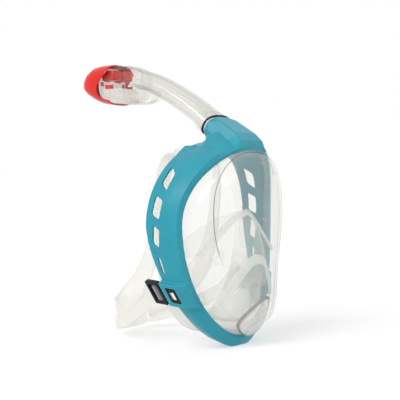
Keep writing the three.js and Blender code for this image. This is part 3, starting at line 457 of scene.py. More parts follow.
def clear_plastic(name, through, edge, gloss=0.5, haze=0.0, line_shade_strength=0.0, line=(70, 70, 76), glow=0.0):
    """Clear moulding: greyer where it is seen edge on, a little hazy with a painted glow in the haze, with
    painted shade lines in the `line` colour, and with faint rub marks in its shine.
    """
    made, tree = new_material(name)
    through, edge = np.array(colour(*through)), np.array(colour(*edge))
    facing = add(tree, "LayerWeight", "Facing", Blend=0.5)
    tint = ramp(tree, facing, (0.0, through), (0.8, mix(through, edge, 0.05)), (1.0, edge))
    haze_and_glow_tone = colour(246, 245, 243)
    # painted shade: dark lines from the points' stored line values, in the tint and in the haze
    if line_shade_strength:
        line_shade = spread(tree, add(tree, "Attribute", "Fac", {"attribute_name": "line"}), 0, line_shade_strength, 0, 1)
        tint = mix_colour(tree, line_shade, tint, colour(*line))
        haze_and_glow_tone = mix_colour(tree, line_shade, haze_and_glow_tone, colour(*line))
    streaks = noise(tree, 160, 4)
    relief = add(tree, "Bump", "Normal", Height=noise(tree, 70, 2), Strength=0.04, Distance=0.0004)
    seen = add(tree, "BsdfTransparent", "BSDF", Color=tint)
    shine = add(tree, "BsdfGlossy", "BSDF", Roughness=spread(tree, streaks, 0.04, 0.11), Normal=relief)
    clean = mix_shader(tree, spread(tree, facing, 0.03, gloss, 0.7, 1.0), seen, shine)
    matt = add(tree, "BsdfDiffuse", "BSDF", Color=haze_and_glow_tone)
    # painted light: part of the haze shines by itself, so it stays pale where little light reaches it
    painted_glow = add(tree, "Emission", "Emission", Color=haze_and_glow_tone, Strength=0.9)
    haze_and_glow = mix_shader(tree, glow, matt, painted_glow)
    output(tree, mix_shader(tree, spread(tree, streaks, haze * 0.85, haze * 1.15), clean, haze_and_glow))
    return made


THIN_ABOVE = (0.062, 0.098)  # metres over the chin flat between which the skirt grows clearer


def silicone(name, body, edge, low=None, base=(253, 253, 251)):
    """Clear silicone rubber: milky, denser edge on and, with `low`, towards the chin, with a matt skin."""
    made, tree = new_material(name)
    facing = add(tree, "LayerWeight", "Facing", Blend=0.5)
    if low:
        height = add(tree, "SeparateXYZ", "Z", Vector=add(tree, "NewGeometry", "Position"))
        body = spread(tree, height, low, body, *THIN_ABOVE)
    tone = ramp(tree, noise(tree, 45), (0.3, colour(*(v - 5 for v in base))), (0.7, colour(*base)))
    tone = mix_colour(tree, spread(tree, facing, 0, 0.8, 0.72, 1.0), tone, colour(150, 148, 140))
    matt = skin(tree, tone, noise(tree, 500, 2), (0.32, 0.5), 0.12, 0.0003)
    lit = mix_shader(tree, 0.45, matt, add(tree, "BsdfTranslucent", "BSDF", Color=tone))
    seen = add(tree, "BsdfTransparent", "BSDF", Color=colour(254, 254, 253))
    output(tree, mix_shader(tree, spread(tree, facing, body, edge, 0.7, 1.0), seen, lit))
    return made


def rubber(name, base):
    """Matt rubber with a fine pale bloom."""
    made, tree = new_material(name)
    speck = noise(tree, 700, 3)
    tone = ramp(tree, speck, (0.3, base), (0.8, shade(base, 2.5)))
    output(tree, skin(tree, tone, speck, (0.5, 0.75), 0.25, 0.0002))
    return made


def steel(name):
    """Steel with a fine turned grain."""
    made, tree = new_material(name)
    brushed = add(tree, "Mapping", "Vector", Vector=add(tree, "TexCoord", "Object"), Scale=(300, 300, 3000))
    grain = add(tree, "TexNoise", "Fac", Vector=brushed, Scale=1.0, Detail=3.0)
    tone = ramp(tree, grain, (0.3, colour(176, 179, 182)), (0.7, colour(212, 214, 216)))
    output(tree, skin(tree, tone, grain, (0.2, 0.4), 0.15, 0.0001, Metallic=1.0))
    return made


TURQUOISE = solid_plastic("turquoise_moulding", (32, 140, 158), 0.4, vary=0.05, coat=0.06)
# glow is the share of each haze that is painted light, shining by itself
LENS = clear_plastic(
    "lens_clear", (252, 252, 251), (216, 219, 221), gloss=0.3, haze=0.07, line_shade_strength=0.85, glow=0.7
)
CLEAR = clear_plastic("plastic_clear", (253, 253, 252), (172, 166, 163))
TUBE = clear_plastic("tube_clear", (253, 253, 252), (164, 156, 150), line_shade_strength=0.1, line=(150, 150, 128))
SMOKE = clear_plastic("smoke_clear", (240, 239, 238), (150, 147, 152), haze=0.4, line_shade_strength=0.6, glow=0.4)
FROST = clear_plastic("frosted_clear", (250, 246, 246), (222, 214, 214), haze=0.6, glow=0.6)
SILICONE = silicone("silicone_clear", body=0.1, edge=0.75)
SKIRT = silicone("silicone_skirt", body=0.05, edge=0.65, low=0.6)
RIDGE = silicone("silicone_ridge", body=0.5, edge=0.8)
STRAP = silicone("strap_silicone", body=0.42, edge=0.65, base=(246, 244, 240))
RED = solid_plastic("red_moulding", (206, 24, 12), 0.3, vary=0.06, edge_highlight=1.25)
BLACK = solid_plastic("black_moulding", (13, 13, 14), 0.45, vary=0.15, edge_highlight=2.0, coat=0.05)
GREY = solid_plastic("grey_moulding", (138, 139, 146), 0.4)
PALE = solid_plastic("pale_moulding", (232, 228, 228), 0.35, vary=0.04)
RUBBER = rubber("black_rubber", colour(16, 16, 17))
STEEL = steel("screw_steel")


# ---- curves round the face opening


def tall_at(shape, c):
    return shape["up" if c > 0 else "down"]


def rim_point(t):
    """A point of the lens rim; the angle t runs from the top towards +X."""
    c = cos(t)
    forward = RIM["top_forward"] if c > 0 else RIM["chin_forward"]
    return vec(RIM["half_width"] * sin(t), -forward * c * c, tall_at(RIM, c) * c)


def off(t, out, back):
    """A point out from the rim by `out` and behind it by `back`."""
    c = cos(t)
    outward = unit(vec(sin(t) / RIM["half_width"], 0, c / tall_at(RIM, c)))
    return rim_point(t) + outward * out + vec(0, back, 0)


def up_share(t):
    return max(cos(t), 0)


def down_share(t):
    return max(-cos(t), 0)


def ring(name, profile, steps=RIM_STEPS):
    """A ring round the face opening; profile(t) lists [out, back] pairs."""
    return loft(name, [[off(t, *p) for p in profile(t)] for t in turns(steps)], closed=True)


def knee(t):
    """The frame's widest line, [out, back] from the rim."""
    up, down = up_share(t), down_share(t)
    y = REAR["side"] - REAR["top_rise"] * up**2 - REAR["chin_rise"] * down**1.58
    return REAR["out"] - up + 2.4 * down**2, y - rim_point(t)[1]


def rear_edge(t):
    """The frame's rear edge: just behind the knee at the sides, and tucked under at the chin."""
    out, back = knee(t)
    down = down_share(t)
    return out - 0.6 - 3 * down**3, back + 1.6 + 13 * down**3


# ---- outer frame


def frame_profile(t):
    knee_out, knee_back = knee(t)
    edge_out, edge_back = rear_edge(t)
    mid_out, mid_back = 0.45 * knee_out + 5.2, 0.45 * knee_back
    taper = 2 * down_share(t) ** 3
    wing = spline([(LIP["width"], -1.2), (mid_out, mid_back), (knee_out, knee_back)], 5)
    lining = [
        (edge_out - WALL, edge_back),
        (knee_out - WALL - taper, max(knee_back - 0.5, 8)),
        (mid_out - WALL - taper / 2, max(mid_back, 6)),
        (SHOULDER["out"], SHOULDER["back"]),
        (1.8, SHOULDER["back"]),
        (1.8, -0.4),
    ]
    bead = [(-LIP["cover"], -0.4), (0.5 - LIP["cover"], 0.8 - LIP["front"]), (1, -LIP["front"])]
    return [*bead, *wing, (edge_out, edge_back), *lining]


# The neck: a flat front face between two ridges, and flanks that fall away to a hip and a heel. A row
# is the place along the axis, half the front, half the width, the height above and below the axis,
# and 0 for an oval or 1 for a section with ridges.
NECK = [
    (0, 14, 23, 12.2, 12.2, 0),
    (-6, 17.5, 25, 12, 14, 1),
    (-34, 18.5, 27, 11.8, 16, 1),
    (-44.5, 20.5, 29.5, 8.8, 13, 1),
    (-50, 21.5, 31, 3.5, 9, 1),
]
# The foot that carries the neck's sides out into the wings, in level ovals: z, half width, half
# depth and y.
FOOT = [(72, 42, 26, -5), (80, 36, 25, -5), (86, 28.5, 19, -3.5), (92, 24.5, 14.5, -1.5), (97, 20, 9, 2)]


def neck_section(along, front, half, top, bottom, angular):
    """One section of the neck; `angular` moves it from an oval to one with a ridge at each corner."""
    hip, heel = -0.1 * (top + bottom), 0.72 * half
    corners = [(half, hip), (front, top), (-front, top), (-half, hip), (-heel, -bottom), (heel, -bottom)]
    outline = []
    for a, b in zip(corners, corners[1:] + corners[:1]):
        for k in range(10):
            x, y = mix(np.array(a), np.array(b), k / 10)
            oval_scale = (abs(x / half) ** OVAL_POWER + abs(y / top) ** OVAL_POWER) ** (-1 / OVAL_POWER)
            outline.append(np.array((x, y)) * mix(oval_scale, 1, angular))
    return on_neck(np.array(outline), along)


def neck_body():
    """The neck runs down and forward from the mouth, and a flared foot carries it into the wings."""
    neck = loft("neck", [neck_section(*row) for row in NECK])
    levels = [np.insert(oval(2 * half, 2 * deep) + (0, y), 2, z, axis=1) for z, half, deep, y in FOOT]
    return join(neck, loft("foot", levels))


SLOTS = [
    {"z": 45.7, "back": 18.4, "tall": 17.6, "lean": 11.5, "deep": 9, "rise": 7.2},
    {"z": 17.2, "back": 23.2, "tall": 19.4, "lean": 6.3, "deep": 10, "rise": 5.2},
    {"z": -11.8, "back": 23.2, "tall": 18.1, "lean": 3.7, "deep": 7.6, "rise": 5.1},
    {"z": -40.7, "back": 19.7, "tall": 17, "lean": -11.7, "deep": 3.9, "rise": 3.1},
]


def slot_cutter(slot):
    """A parallelogram with rounded corners, pushed sideways through the wing: its long edges lean
    forward at the top, and its short ones rise towards the rear."""
    lean = radians(slot["lean"])
    along = np.array((-sin(lean), cos(lean))) * slot["tall"] / 2
    across = np.array((slot["deep"], slot["rise"])) / 2
    middle = np.array((slot["back"], slot["z"]))
    corners = [middle + across * i + along * j for i, j in SQUARE]
    outline = rounded(corners, 0.5 * np.linalg.norm(across))
    return loft("slot", [np.insert(outline, 0, x, axis=1) for x in (50, 110)])


def buckle_place():
    """Axes of the left buckle: rearwards, up the slope and outwards. The first two are not square."""
    slope, lean, rise = (radians(BUCKLE[k]) for k in ("slope", "lean", "rise"))
    up_slope = vec(sin(slope), 0, cos(slope))
    rearwards = vec(0, 1, 0)
    x = rearwards * cos(rise) + up_slope * sin(rise)
    y = rearwards * sin(lean) + up_slope * cos(lean)
    out = vec(cos(slope), 0, -sin(slope))
    return Place(x, y, out, vec(BUCKLE["x"], BUCKLE["y"], BUCKLE["z"]))


AT_BUCKLE = buckle_place()
PAD = {"deep": 31, "tall": 27, "thick": 8.5}
TONGUE = {"long": 22, "tall": 15, "thick": 2.2, "depth": -2.9}
BUTTON = {"deep": 11, "tall": 16, "thick": 1.8, "centre": -12.5, "top": 2.6}
ROLLER = {"radius": 2.7, "pin": 1, "ribs": 7, "x": 8.4}
ANCHOR_TURN = radians(33)
AT_ANCHOR = Place(
    vec(cos(ANCHOR_TURN), 0, -sin(ANCHOR_TURN)),
    vec(0, 1, 0),
    vec(sin(ANCHOR_TURN), 0, cos(ANCHOR_TURN)),
    vec(39, 21.5, 72.5),
)
CHIN_FLAT_Z = -128
LEVEL = Place(*np.eye(3), np.zeros(3))


def face_space():
    """The room inside the frame for the lens, the retaining ring and the face."""
    front, back, lip = -LIP["front"] - 0.3, SHOULDER["back"], -LIP["cover"] - 0.1
    stations = [(-60, 2), (front - 0.1, 2), (front, lip), (-0.45, lip), (-0.35, 1.8)]
    stations += [(back - 0.05, 1.8), (back + 0.05, SHOULDER["out"])]
    loops = [[off(t, out, y) for t in turns(RIM_STEPS)] for y, out in stations]
    for y in (40, 70):
        loops.append([off(t, max(rear_edge(t)[0] - WALL, 2.2) - 0.1, y) for t in turns(RIM_STEPS)])
    return loft("face_space", loops)


def outer_frame():
    body = ring("outer_frame_moulding", frame_profile)
    end, top, half = -1 - PAD["deep"], PAD["thick"] / 2 - 1.6, PAD["tall"] / 2
    low = top - PAD["thick"]
    side = [(-1, low), (-1, top), (end + 10, top), (end, top - 4.2), (end, low)]
    pad = loft("pad", [AT_BUCKLE.at([(x, y, h) for x, h in side]) for y in (-half, half)])
    anchor = block("anchor", AT_ANCHOR, (0, 0, 0), (17, 14, 7.4))
    join(body, neck_body(), *both_sides(pad), *both_sides(anchor))
    long, tall, thick = TONGUE["long"], TONGUE["tall"], TONGUE["thick"]
    room_size = (20, BUCKLE_SIZE["height"] + 1.6, BUCKLE_SIZE["thick"] + 3.6)
    window_size = (BUTTON["deep"] + 1.1, BUTTON["tall"] + 1.1, 9.4)
    openings = [
        block("pocket", AT_BUCKLE, (4 - long / 2, 0, TONGUE["depth"]), (long + 10, tall + 1.2, thick + 1.2)),
        block("room", AT_BUCKLE, (10.1, 0, 0), room_size),
        block("window", AT_BUCKLE, (BUTTON["centre"], 0, 2.2), window_size, 0.8),
        block("socket", AT_ANCHOR, (0, 2, -0.1), (14.8, 14, 3.3)),
    ]
    openings += [slot_cutter(slot) for slot in SLOTS]
    below = block("below", LEVEL, (0, -10, CHIN_FLAT_Z - 10), (80, 60, 20))
    cut(body, face_space(), neck_bar("bore", OVAL["bore"], -34, 2), below)
    for opening in openings:
        cut(body, *both_sides(opening))
    soften(body, FRAME_VOXEL, 2)
    show(body, "mask", TURQUOISE, "outer_frame", sharp=60)


# ---- lens


def window_point(t):
    """The soft crease round the eye window."""
    c, s = cos(t), sin(t)
    tall = tall_at(WINDOW, c)
    power = WINDOW["power"] if c > 0 else 2
    y = WINDOW["y"] - (5 * c * c if c > 0 else 22 * c**4)
    return vec(WINDOW["half_width"] * bent(s, power), y, WINDOW["centre_z"] + tall * bent(c, power))


def lens_point(t, share):
    """The lens's outer surface: share 0 is the middle of the window, 1 its crease and 2 the rim."""
    edge = window_point(t)
    if share <= 1:
        y = mix(WINDOW["centre_y"], edge[1], share**2)
        return vec(edge[0] * share, y, mix(WINDOW["centre_z"], edge[2], share))
    rim = rim_point(t)
    down = down_share(t) ** 2
    top = up_share(t) ** 8  # the crease runs close to the lip there, so the curve flattens
    bulge = vec(
        rim[0] * 0.955,
        edge[1] + (9 - 13 * down) * (1 - 0.3 * up_share(t) - 0.55 * top),
        mix(edge[2], rim[2], 0.86 - 0.03 * down - 0.7 * top),
    )
    at_lip = off(t, -LIP["cover"] - 1.1, -LIP["front"] + 0.4)
    return bezier(edge, bulge, at_lip, share - 1)


def lens_normal(t, share):
    step = 0.02
    low, high = max(share - step, 0.02), min(share + step, 2)
    along_t = lens_point(t + step, share) - lens_point(t - step, share)
    along_s = lens_point(t, high) - lens_point(t, low)
    normal = unit(np.cross(along_t, along_s))
    return normal if normal[1] > 0 else -normal


def crease(t, share):
    """How strong the painted shade line along the crease is: full round the window's top and sides, fading
    out by the cheeks.
    """
    z = lens_point(t, share)[2]
    strength = min(max((z + 44) / 22, 0), 1)
    return strength * exp(-(((share - 1) / 0.009) ** 2))


def lens():
    shares = list(np.linspace(0.03, 0.97, 18)) + [1 + 0.005 * k for k in range(-5, 6)]
    shares += list(np.linspace(1.045, 1.97, 22))
    angles = [2 * pi * (i + 0.5) / LENS_STEPS for i in range(LENS_STEPS)]
    outer = [[lens_point(t, s) + lens_normal(t, s) * 0.3 * crease(t, s) for t in angles] for s in shares]
    inner = [[lens_point(t, s) + lens_normal(t, s) * LENS_WALL for t in angles] for s in shares[::3]]
    lip = -LIP["cover"]
    rim = [(lip - 0.7, -2.4), (lip - 0.7, 0.3), (1, 0.3), (1, 2), (lip - 2.8, 2)]
    edge = [[off(t, *p) for t in angles] for p in rim]
    body = loft("lens_shell", outer + edge + inner[::-1])
    # painted shade: a dark line along the crease round the eye window
    line_shade = [crease(t, s) for s in shares for t in angles]
    mark(body, line_shade + [0] * (len(body.data.vertices) - len(line_shade)))
    cut(body, loft("hole", [drain_loop(1, GAP, lift) for lift in (16, -12)]))
    show(body, "mask", LENS, "lens", sharp=50)


# ---- drain at the chin

DRAIN = {"half": 23, "crown": 4.5, "side_drop": 0.011, "widest": 0.68}
DRAIN_TIP = vec(0, -51.5, -75)
DRAIN_FOOT = vec(0, -29.5, -117)
DRAIN_TALL = np.linalg.norm(DRAIN_FOOT - DRAIN_TIP)
DRAIN_DOWN = unit(DRAIN_FOOT - DRAIN_TIP)
DRAIN_OUT = np.cross(DRAIN_DOWN, ACROSS)


def drain_loop(scale, grow, lift):
    """Outline of the cover, a rounded shield: `grow` widens it and `lift` moves it out of its plane."""
    widest = DRAIN["widest"]
    loop = []
    for a in turns(COVER_STEPS):
        c, s = cos(a), sin(a)
        narrow = 1 - 0.38 * c**1.2 if c > 0 else 1
        x = scale * (DRAIN["half"] + grow) * s * narrow
        rise = (widest if c > 0 else 1 - widest) * DRAIN_TALL
        down = widest * DRAIN_TALL - scale * (rise + grow) * c
        height = DRAIN["crown"] * (1 - scale**2) - DRAIN["side_drop"] * x * x + lift
        loop.append(DRAIN_TIP + DRAIN_DOWN * down + ACROSS * x + DRAIN_OUT * height)
    return loop


def drain_cover():
    outer = [(s, 1.6) for s in np.linspace(0.03, 0.9, 14)]
    outer += [(0.94, 1.55), (0.97, 1.35), (0.99, 1.1), (1, 0.8)]
    under = [(1, -1.3), (0.99, -1.55), (0.97, -1.6), (0.92, -1.6), (0.9, -1.4), (0.88, -0.2)]
    under += [(s, 0) for s in np.linspace(0.85, 0.05, 10)]
    shell = outer + under
    body = loft("drain_cover_shell", [drain_loop(s, 0, lift) for s, lift in shell])
    # painted shade: a dark line round the cover's rim, where the shell turns under
    line_shade = [np.clip((s - 0.94) / 0.03, 0, 1) for s, lift in shell]
    mark(body, np.repeat(line_shade, COVER_STEPS))
    show(body, "mask", SMOKE, "drain_cover", sharp=40)


# ---- skirt, pocket and retaining ring


def skirt_profile(t):
    """A flange behind the lens, a wall to the face, and a seal that curls in, deepest at the forehead."""
    up, down = up_share(t), down_share(t)
    back = 35.5 - 3 * up + 7 * down**2 - rim_point(t)[1]
    curl = 15 - 5 * down
    side = min(rear_edge(t)[0] - WALL - 1.2, 2) - 3 * down
    wall = [(-3.5, 9), (-3, 0.5 * back), (side, 0.8 * back), (side - 3, back - 2)]
    wall += [(side - curl * 0.6, back), (side - curl, back - 1)]
    outside = spline([(-3.5, 4.6)] + wall, 5)
    under = [(side - curl, back - 1.8)]
    thins = (SKIRT_WALL, SKIRT_WALL, 0.4, 0.4, 0.4)
    under += [(out - SKIRT_WALL, y - thin) for (out, y), thin in zip(wall[4::-1], thins)]
    inside = spline(under + [(-3.5 - SKIRT_WALL, 4.6)], 5)
    flange = [(-3.5 - SKIRT_WALL, 2.4), (1.2, 2.4), (1.4, 2.6), (1.4, 4.4), (1.2, 4.6)]
    return [*outside, *inside, *flange]


def face_skirt():
    body = ring("face_skirt_silicone", skirt_profile, 180)
    cut(body, neck_bar("airway", OVAL["bore"], -60, -20))
    show(body, "mask", SKIRT, "face_skirt", sharp=60)


def retaining_ring():
    corners = [(-3.1, 4.95), (SHOULDER["out"] - 0.4, 4.95), (SHOULDER["out"] - 0.4, 7.2), (-3.1, 7.2)]
    outline = rounded(corners, 0.6, 3)
    body = ring("retaining_ring_moulding", lambda t: outline, 160)
    show(body, "mask", CLEAR, "retaining_ring")


def pocket_front(t):
    c = cos(t)
    y = -38 + 14 * (1 - c) if c > 0 else -24 + 6 * (1 + c)
    return vec(38 * sin(t), y, -68 + (30 if c > 0 else 34) * c)


def pocket_back(t):
    c = cos(t)
    y = 4 - 28 * c**1.5 if c > 0 else 4 + 22 * c * c
    return vec(54 * sin(t), y, -52 + (62 if c > 0 else 44) * c)


def pocket_point(t, share, inset=0.0):
    outward = vec(sin(t), 0, cos(t))
    belly = 5 * sin(pi * share) - inset
    return mix(pocket_front(t), pocket_back(t), share) + outward * belly


def pocket_place(t, share):
    a = 0.05
    along_t = pocket_point(t + a, share) - pocket_point(t - a, share)
    along_s = pocket_point(t, share + a) - pocket_point(t, share - a)
    normal = unit(np.cross(along_s, along_t))
    if normal[0] < 0:
        normal = -normal
    x = unit(along_t - normal * (along_t @ normal))
    return Place(x, np.cross(normal, x), normal, pocket_point(t, share) - normal * POCKET_WALL / 2)


# The left inhale and exhale valves: place and radius.
VALVES = ((pocket_place(radians(58), 0.5), 7.5), (pocket_place(radians(112), 0.52), 7))
RIB_HEIGHT = 0.6


def ribbon(name, line, across, wide, thick, steps=8, ribs=0):
    """A flat band along a smooth line, with its width's direction and its width given at each station."""
    path = spline(line, steps)
    sides = spline(across, steps)
    widths = spline([[w] for w in wide], steps)[:, 0]
    loops = []
    for i, point in enumerate(path):
        along = tangent(path, i)
        side = unit(sides[i] - along * (sides[i] @ along))
        normal = np.cross(along, side)
        w, h = widths[i] / 2, thick / 2
        top = []
        count = 4 * max(ribs, 1)
        for k in range(count + 1):
            u = -1 + 2 * k / count
            raised = RIB_HEIGHT * (1 - cos(pi * k / 2)) / 2 if ribs else 0
            top.append((w * 0.96 * u, h + raised))
        section = [(w * 0.99, h * 0.6), (w, 0), (w * 0.99, -h * 0.6)]
        section += [(w * 0.96 * u, -h) for u in (1, 0.5, 0, -0.5, -1)]
        section += [(-w * 0.99, -h * 0.6), (-w, 0), (-w * 0.99, h * 0.6)] + top
        loops.append([point + side * u + normal * v for u, v in section])
    return loft(name, loops)


def pocket_shelf():
    """The membrane from the bridge of the nose out to the cheek, with a ribbed lip along its front edge."""
    lip = spline([(1, -25.5, 11.5), (20, -21, 3), (45, -17, -15), (68, -13, -31)], 8)
    face = spline([(1, -18, 12), (22, -2, 4), (44, 14, -12), (60, 24, -30)], 8)
    half, sag = vec(0, 0, 0.8), vec(0, 0, 3)
    loops = []
    for a, b in zip(lip, face):
        row = [mix(a, b, s) - sag * sin(pi * s) for s in np.linspace(0, 1, 8)]
        loops.append([p + half for p in row] + [p - half for p in row[::-1]])
    sheet = loft("shelf", loops)
    line = [(1, -26.5, 11.5), (20, -22, 3), (45, -18, -15), (67, -14.2, -31)]
    edge = ribbon("edge", line, [(0, 0.35, 0.9)] * 4, [6.5] * 4, 1.6, ribs=3)
    return append(sheet, in_material(1, edge))


def pocket_band():
    """The band that the pocket presses on the lens, over the mouth, with raised lines along it."""
    line = [(0, -39.5, -37), (14, -38.5, -41), (29, -34, -56), (40, -29.5, -70), (47, -23.5, -84)]
    across = [(0, 0.3, 1), (0.2, 0.3, 1), (0.7, 0.3, 0.7), (0.8, 0.3, 0.6), (0.8, 0.3, 0.6)]
    return in_material(1, ribbon("band", line, across, [10, 10, 11, 11, 11], 1.5, ribs=2))


def nose_pocket():
    shares = np.linspace(0, 1, 14)
    loops = [[pocket_point(t, s) for t in turns(96)] for s in shares]
    loops += [[pocket_point(t, s, POCKET_WALL) for t in turns(96)] for s in shares[::-1]]
    body = loft("nose_pocket_silicone", loops, closed=True)
    for place, radius in VALVES:
        cut(body, *both_sides(drum("hole", place, radius + 0.4, 8)))
    paint(body, SILICONE, RIDGE)
    append(body, *both_sides(pocket_shelf()), *both_sides(pocket_band()))
    show(body, "mask", SILICONE, "nose_pocket", sharp=60)


# ---- snorkel tube and its socket

TUBE_LINE = [(0, 31, 115.2), (0, 53, 128.9), (0, 76, 141.2), (0, 98, 150.8), (0, 123, 158)]
TUBE_PATH = spline([MOUTH + NECK_AXIS * 5, *TUBE_LINE], 10)
TUBE_CLEARANCE = [size + 2 * GAP for size in OVAL["tube"]]


def swept(name, outline, path):
    """A flat outline carried along a path in the middle plane."""
    loops = []
    for i, point in enumerate(path):
        up = np.cross(ACROSS, tangent(path, i))
        loops.append(point + np.outer(outline[:, 0], ACROSS) + np.outer(outline[:, 1], up))
    return loft(name, loops)


def channel(size, wall, low, high):
    """The part of the tube's inside between two ribs, with rounded corners."""
    wide, thick = size[0] / 2 - wall, size[1] / 2 - wall

    def height(x):
        return thick * (1 - min(abs(x / wide), 1) ** OVAL_POWER) ** (1 / OVAL_POWER)

    xs = np.linspace(max(low, -wide + 0.3), min(high, wide - 0.3), 16)
    return np.array([(x, height(x)) for x in xs] + [(x, -height(x)) for x in xs[::-1]])


def channelled(name, size, wall, path):
    """An oval bar with its three channels cut through it."""
    body = swept(name, oval(*size), path)
    inside = size[0] / 2 - wall
    split, rib = 0.48 * inside, 0.7
    over = np.vstack([[2 * path[0] - path[1]], path, [2 * path[-1] - path[-2]]])
    for low, high in ((-inside, -split - rib), (-split + rib, split - rib), (split + rib, inside)):
        cut(body, swept("channel", channel(size, wall, low, high), over))
    return body


def snorkel_tube():
    spigot_path = np.array([MOUTH + NECK_AXIS * along for along in (-27, -14, 0, 5.3)])
    body = channelled("tube_shell", OVAL["tube"], TUBE_WALL, TUBE_PATH)
    join(body, channelled("spigot", OVAL["spigot"], 1.6, spigot_path))
    points = np.array([vertex.co for vertex in body.data.vertices]) / MM - RIM_ORIGIN
    middle = np.interp(points[:, 1], TUBE_PATH[:, 1], TUBE_PATH[:, 2])
    height = (points[:, 2] - middle) / (OVAL["tube"][1] / 2)
    # painted shade: a faint olive-grey band along the top of the tube
    mark(body, np.clip((height - 0.85) / 0.3, 0, 1))
    show(body, "snorkel", TUBE, "snorkel_tube", sharp=40)


def neck_sleeve(name, outer, inner, start, end):
    return cut(neck_bar(name, outer, start, end, 96), neck_bar("inside", inner, start - 1, end + 1, 96))


def socket_sleeve():
    body = neck_sleeve("socket_sleeve_moulding", OVAL["flange"], OVAL["sleeve_bore"], GAP, 1.5)
    join(body, neck_sleeve("liner", OVAL["sleeve"], OVAL["sleeve_bore"], -32, 1))
    show(bevel(body, 0.25, 2), "mask", CLEAR, "socket_sleeve")


def tube_collar():
    """The cuff above the O-ring, with a shallow groove round it near each end."""
    wide, thick = OVAL["collar"]
    groove = [(0, 0), (0.3, -0.7), (0.9, -0.7), (1.2, 0)]
    grooves = [(start + along, grow) for start in (6, 11.6) for along, grow in groove]
    profile = [(4.7, -1), (5, 0), *grooves, (13.7, 0), (14, -1)]
    loops = [on_neck(oval(wide + grow, thick + grow), along) for along, grow in profile]
    body = loft("tube_collar_cuff", loops)
    cut(body, tube_room(), neck_bar("start", TUBE_CLEARANCE, 2, 8))
    show(body, "snorkel", CLEAR, "tube_collar", sharp=40)


def tube_o_ring():
    wide, thick = OVAL["ring"]
    outlines = []
    for x, y in oval(wide, thick, 96):
        outward = unit(np.array((x / wide**2, y / thick**2)))
        section = []
        for a in turns(16):
            flat = (x, y) + outward * (1.3 * cos(a) + 0.9)
            section.append(on_neck(flat[None], 3.1 + 1.15 * sin(a))[0])
        outlines.append(section)
    body = loft("tube_seal_ring", outlines, closed=True)
    show(body, "snorkel", RUBBER, "tube_o_ring", sharp=80)


# ---- dry top

# The head's sections: y, half width, low and high.
HEAD = [
    (117, 22, 134, 168),
    (123, 23, 129, 169.8),
    (133, 23.8, 128.4, 170.6),
    (147, 24, 129.5, 171.2),
    (161, 23.6, 131.5, 171),
]
CAP_END = [(170, 23, 135, 169.6), (178, 21.4, 139.5, 164.5), (183, 18.5, 143.5, 158)]
HEAD_WALL = 1.7
FINS = {"count": 8, "first": 134, "pitch": 3.4}
FLOAT = {"wide": 15.5, "tall": 11.6, "x": 9.6, "y": 148, "z": 160.6}


def head_at(y):
    """The head's section at any y between its ends."""
    rows = np.array(HEAD)
    return (y,) + tuple(np.interp(y, rows[:, 0], rows[:, k]) for k in (1, 2, 3))


def head_loop(section, inset):
    """The head's outline at a section, shrunk by `inset`."""
    y, half, low, high = section
    flat = oval(2 * (half - inset), high - low - 2 * inset, power=3) + (0, (low + high) / 2)
    return np.insert(flat, 1, y, axis=1)


def tube_room():
    """What a piece that is pushed over the tube has to leave free."""
    return swept("tube_room", oval(*TUBE_CLEARANCE), TUBE_PATH)


def float_loop(y, grow):
    """The left float's outline across the head, made larger by `grow`."""
    flat = oval(FLOAT["wide"] + grow, FLOAT["tall"] + grow, 48, 4) + (FLOAT["x"], FLOAT["z"])
    return np.insert(flat, 1, y, axis=1)


def float_comb():
    """Fins and posts over the drain slots, and the plate whose two openings the floats rise through."""
    fin_places = [FINS["first"] + FINS["pitch"] * k for k in range(FINS["count"])]
    fins = [block("fin", LEVEL, (0, y, head_at(y)[2] + 8.7), (36, 0.9, 15), 0.3) for y in fin_places]
    posts = [block("post", LEVEL, (x, 147, 138), (0.9, 28, 16), 0.3) for x in (-12, -4, 4, 12)]
    plate = loft("plate", [head_loop(head_at(y), HEAD_WALL) for y in (157.6, 158.8)])
    cut(plate, *both_sides(loft("opening", [float_loop(y, 1) for y in (150, 165)])))
    return join(*fins, *posts, plate)


def dry_top_body():
    """The clear housing, with a frosted comb inside and the red stops that stand on it."""
    sections = spline(HEAD, 6)
    inner = [s for s in sections if s[0] > 119.5]
    loops = [head_loop(s, 0) for s in sections] + [head_loop(sections[-1], HEAD_WALL)]
    loops += [head_loop(s, HEAD_WALL) for s in inner[::-1][1:]]
    body = loft("dry_top_housing", loops)
    cut(body, tube_room())
    for k in (-1, 0, 1):
        cut(body, block("port", LEVEL, (7 * k, 128, 128.5), (3, 3.4, 12), 0.6))
    paint(body, CLEAR, FROST, RED)
    long_stop = block("long_stop", LEVEL, (16.5, 148, 147.6), (3, 10, 4.4), 0.6)
    short_stop = block("short_stop", LEVEL, (18, 158.2, 151), (3, 4.6, 4.4), 0.6)
    stops = in_material(2, join(*both_sides(long_stop), *both_sides(short_stop)))
    append(body, in_material(1, float_comb()), stops)
    show(body, "snorkel", CLEAR, "dry_top_body", sharp=35)


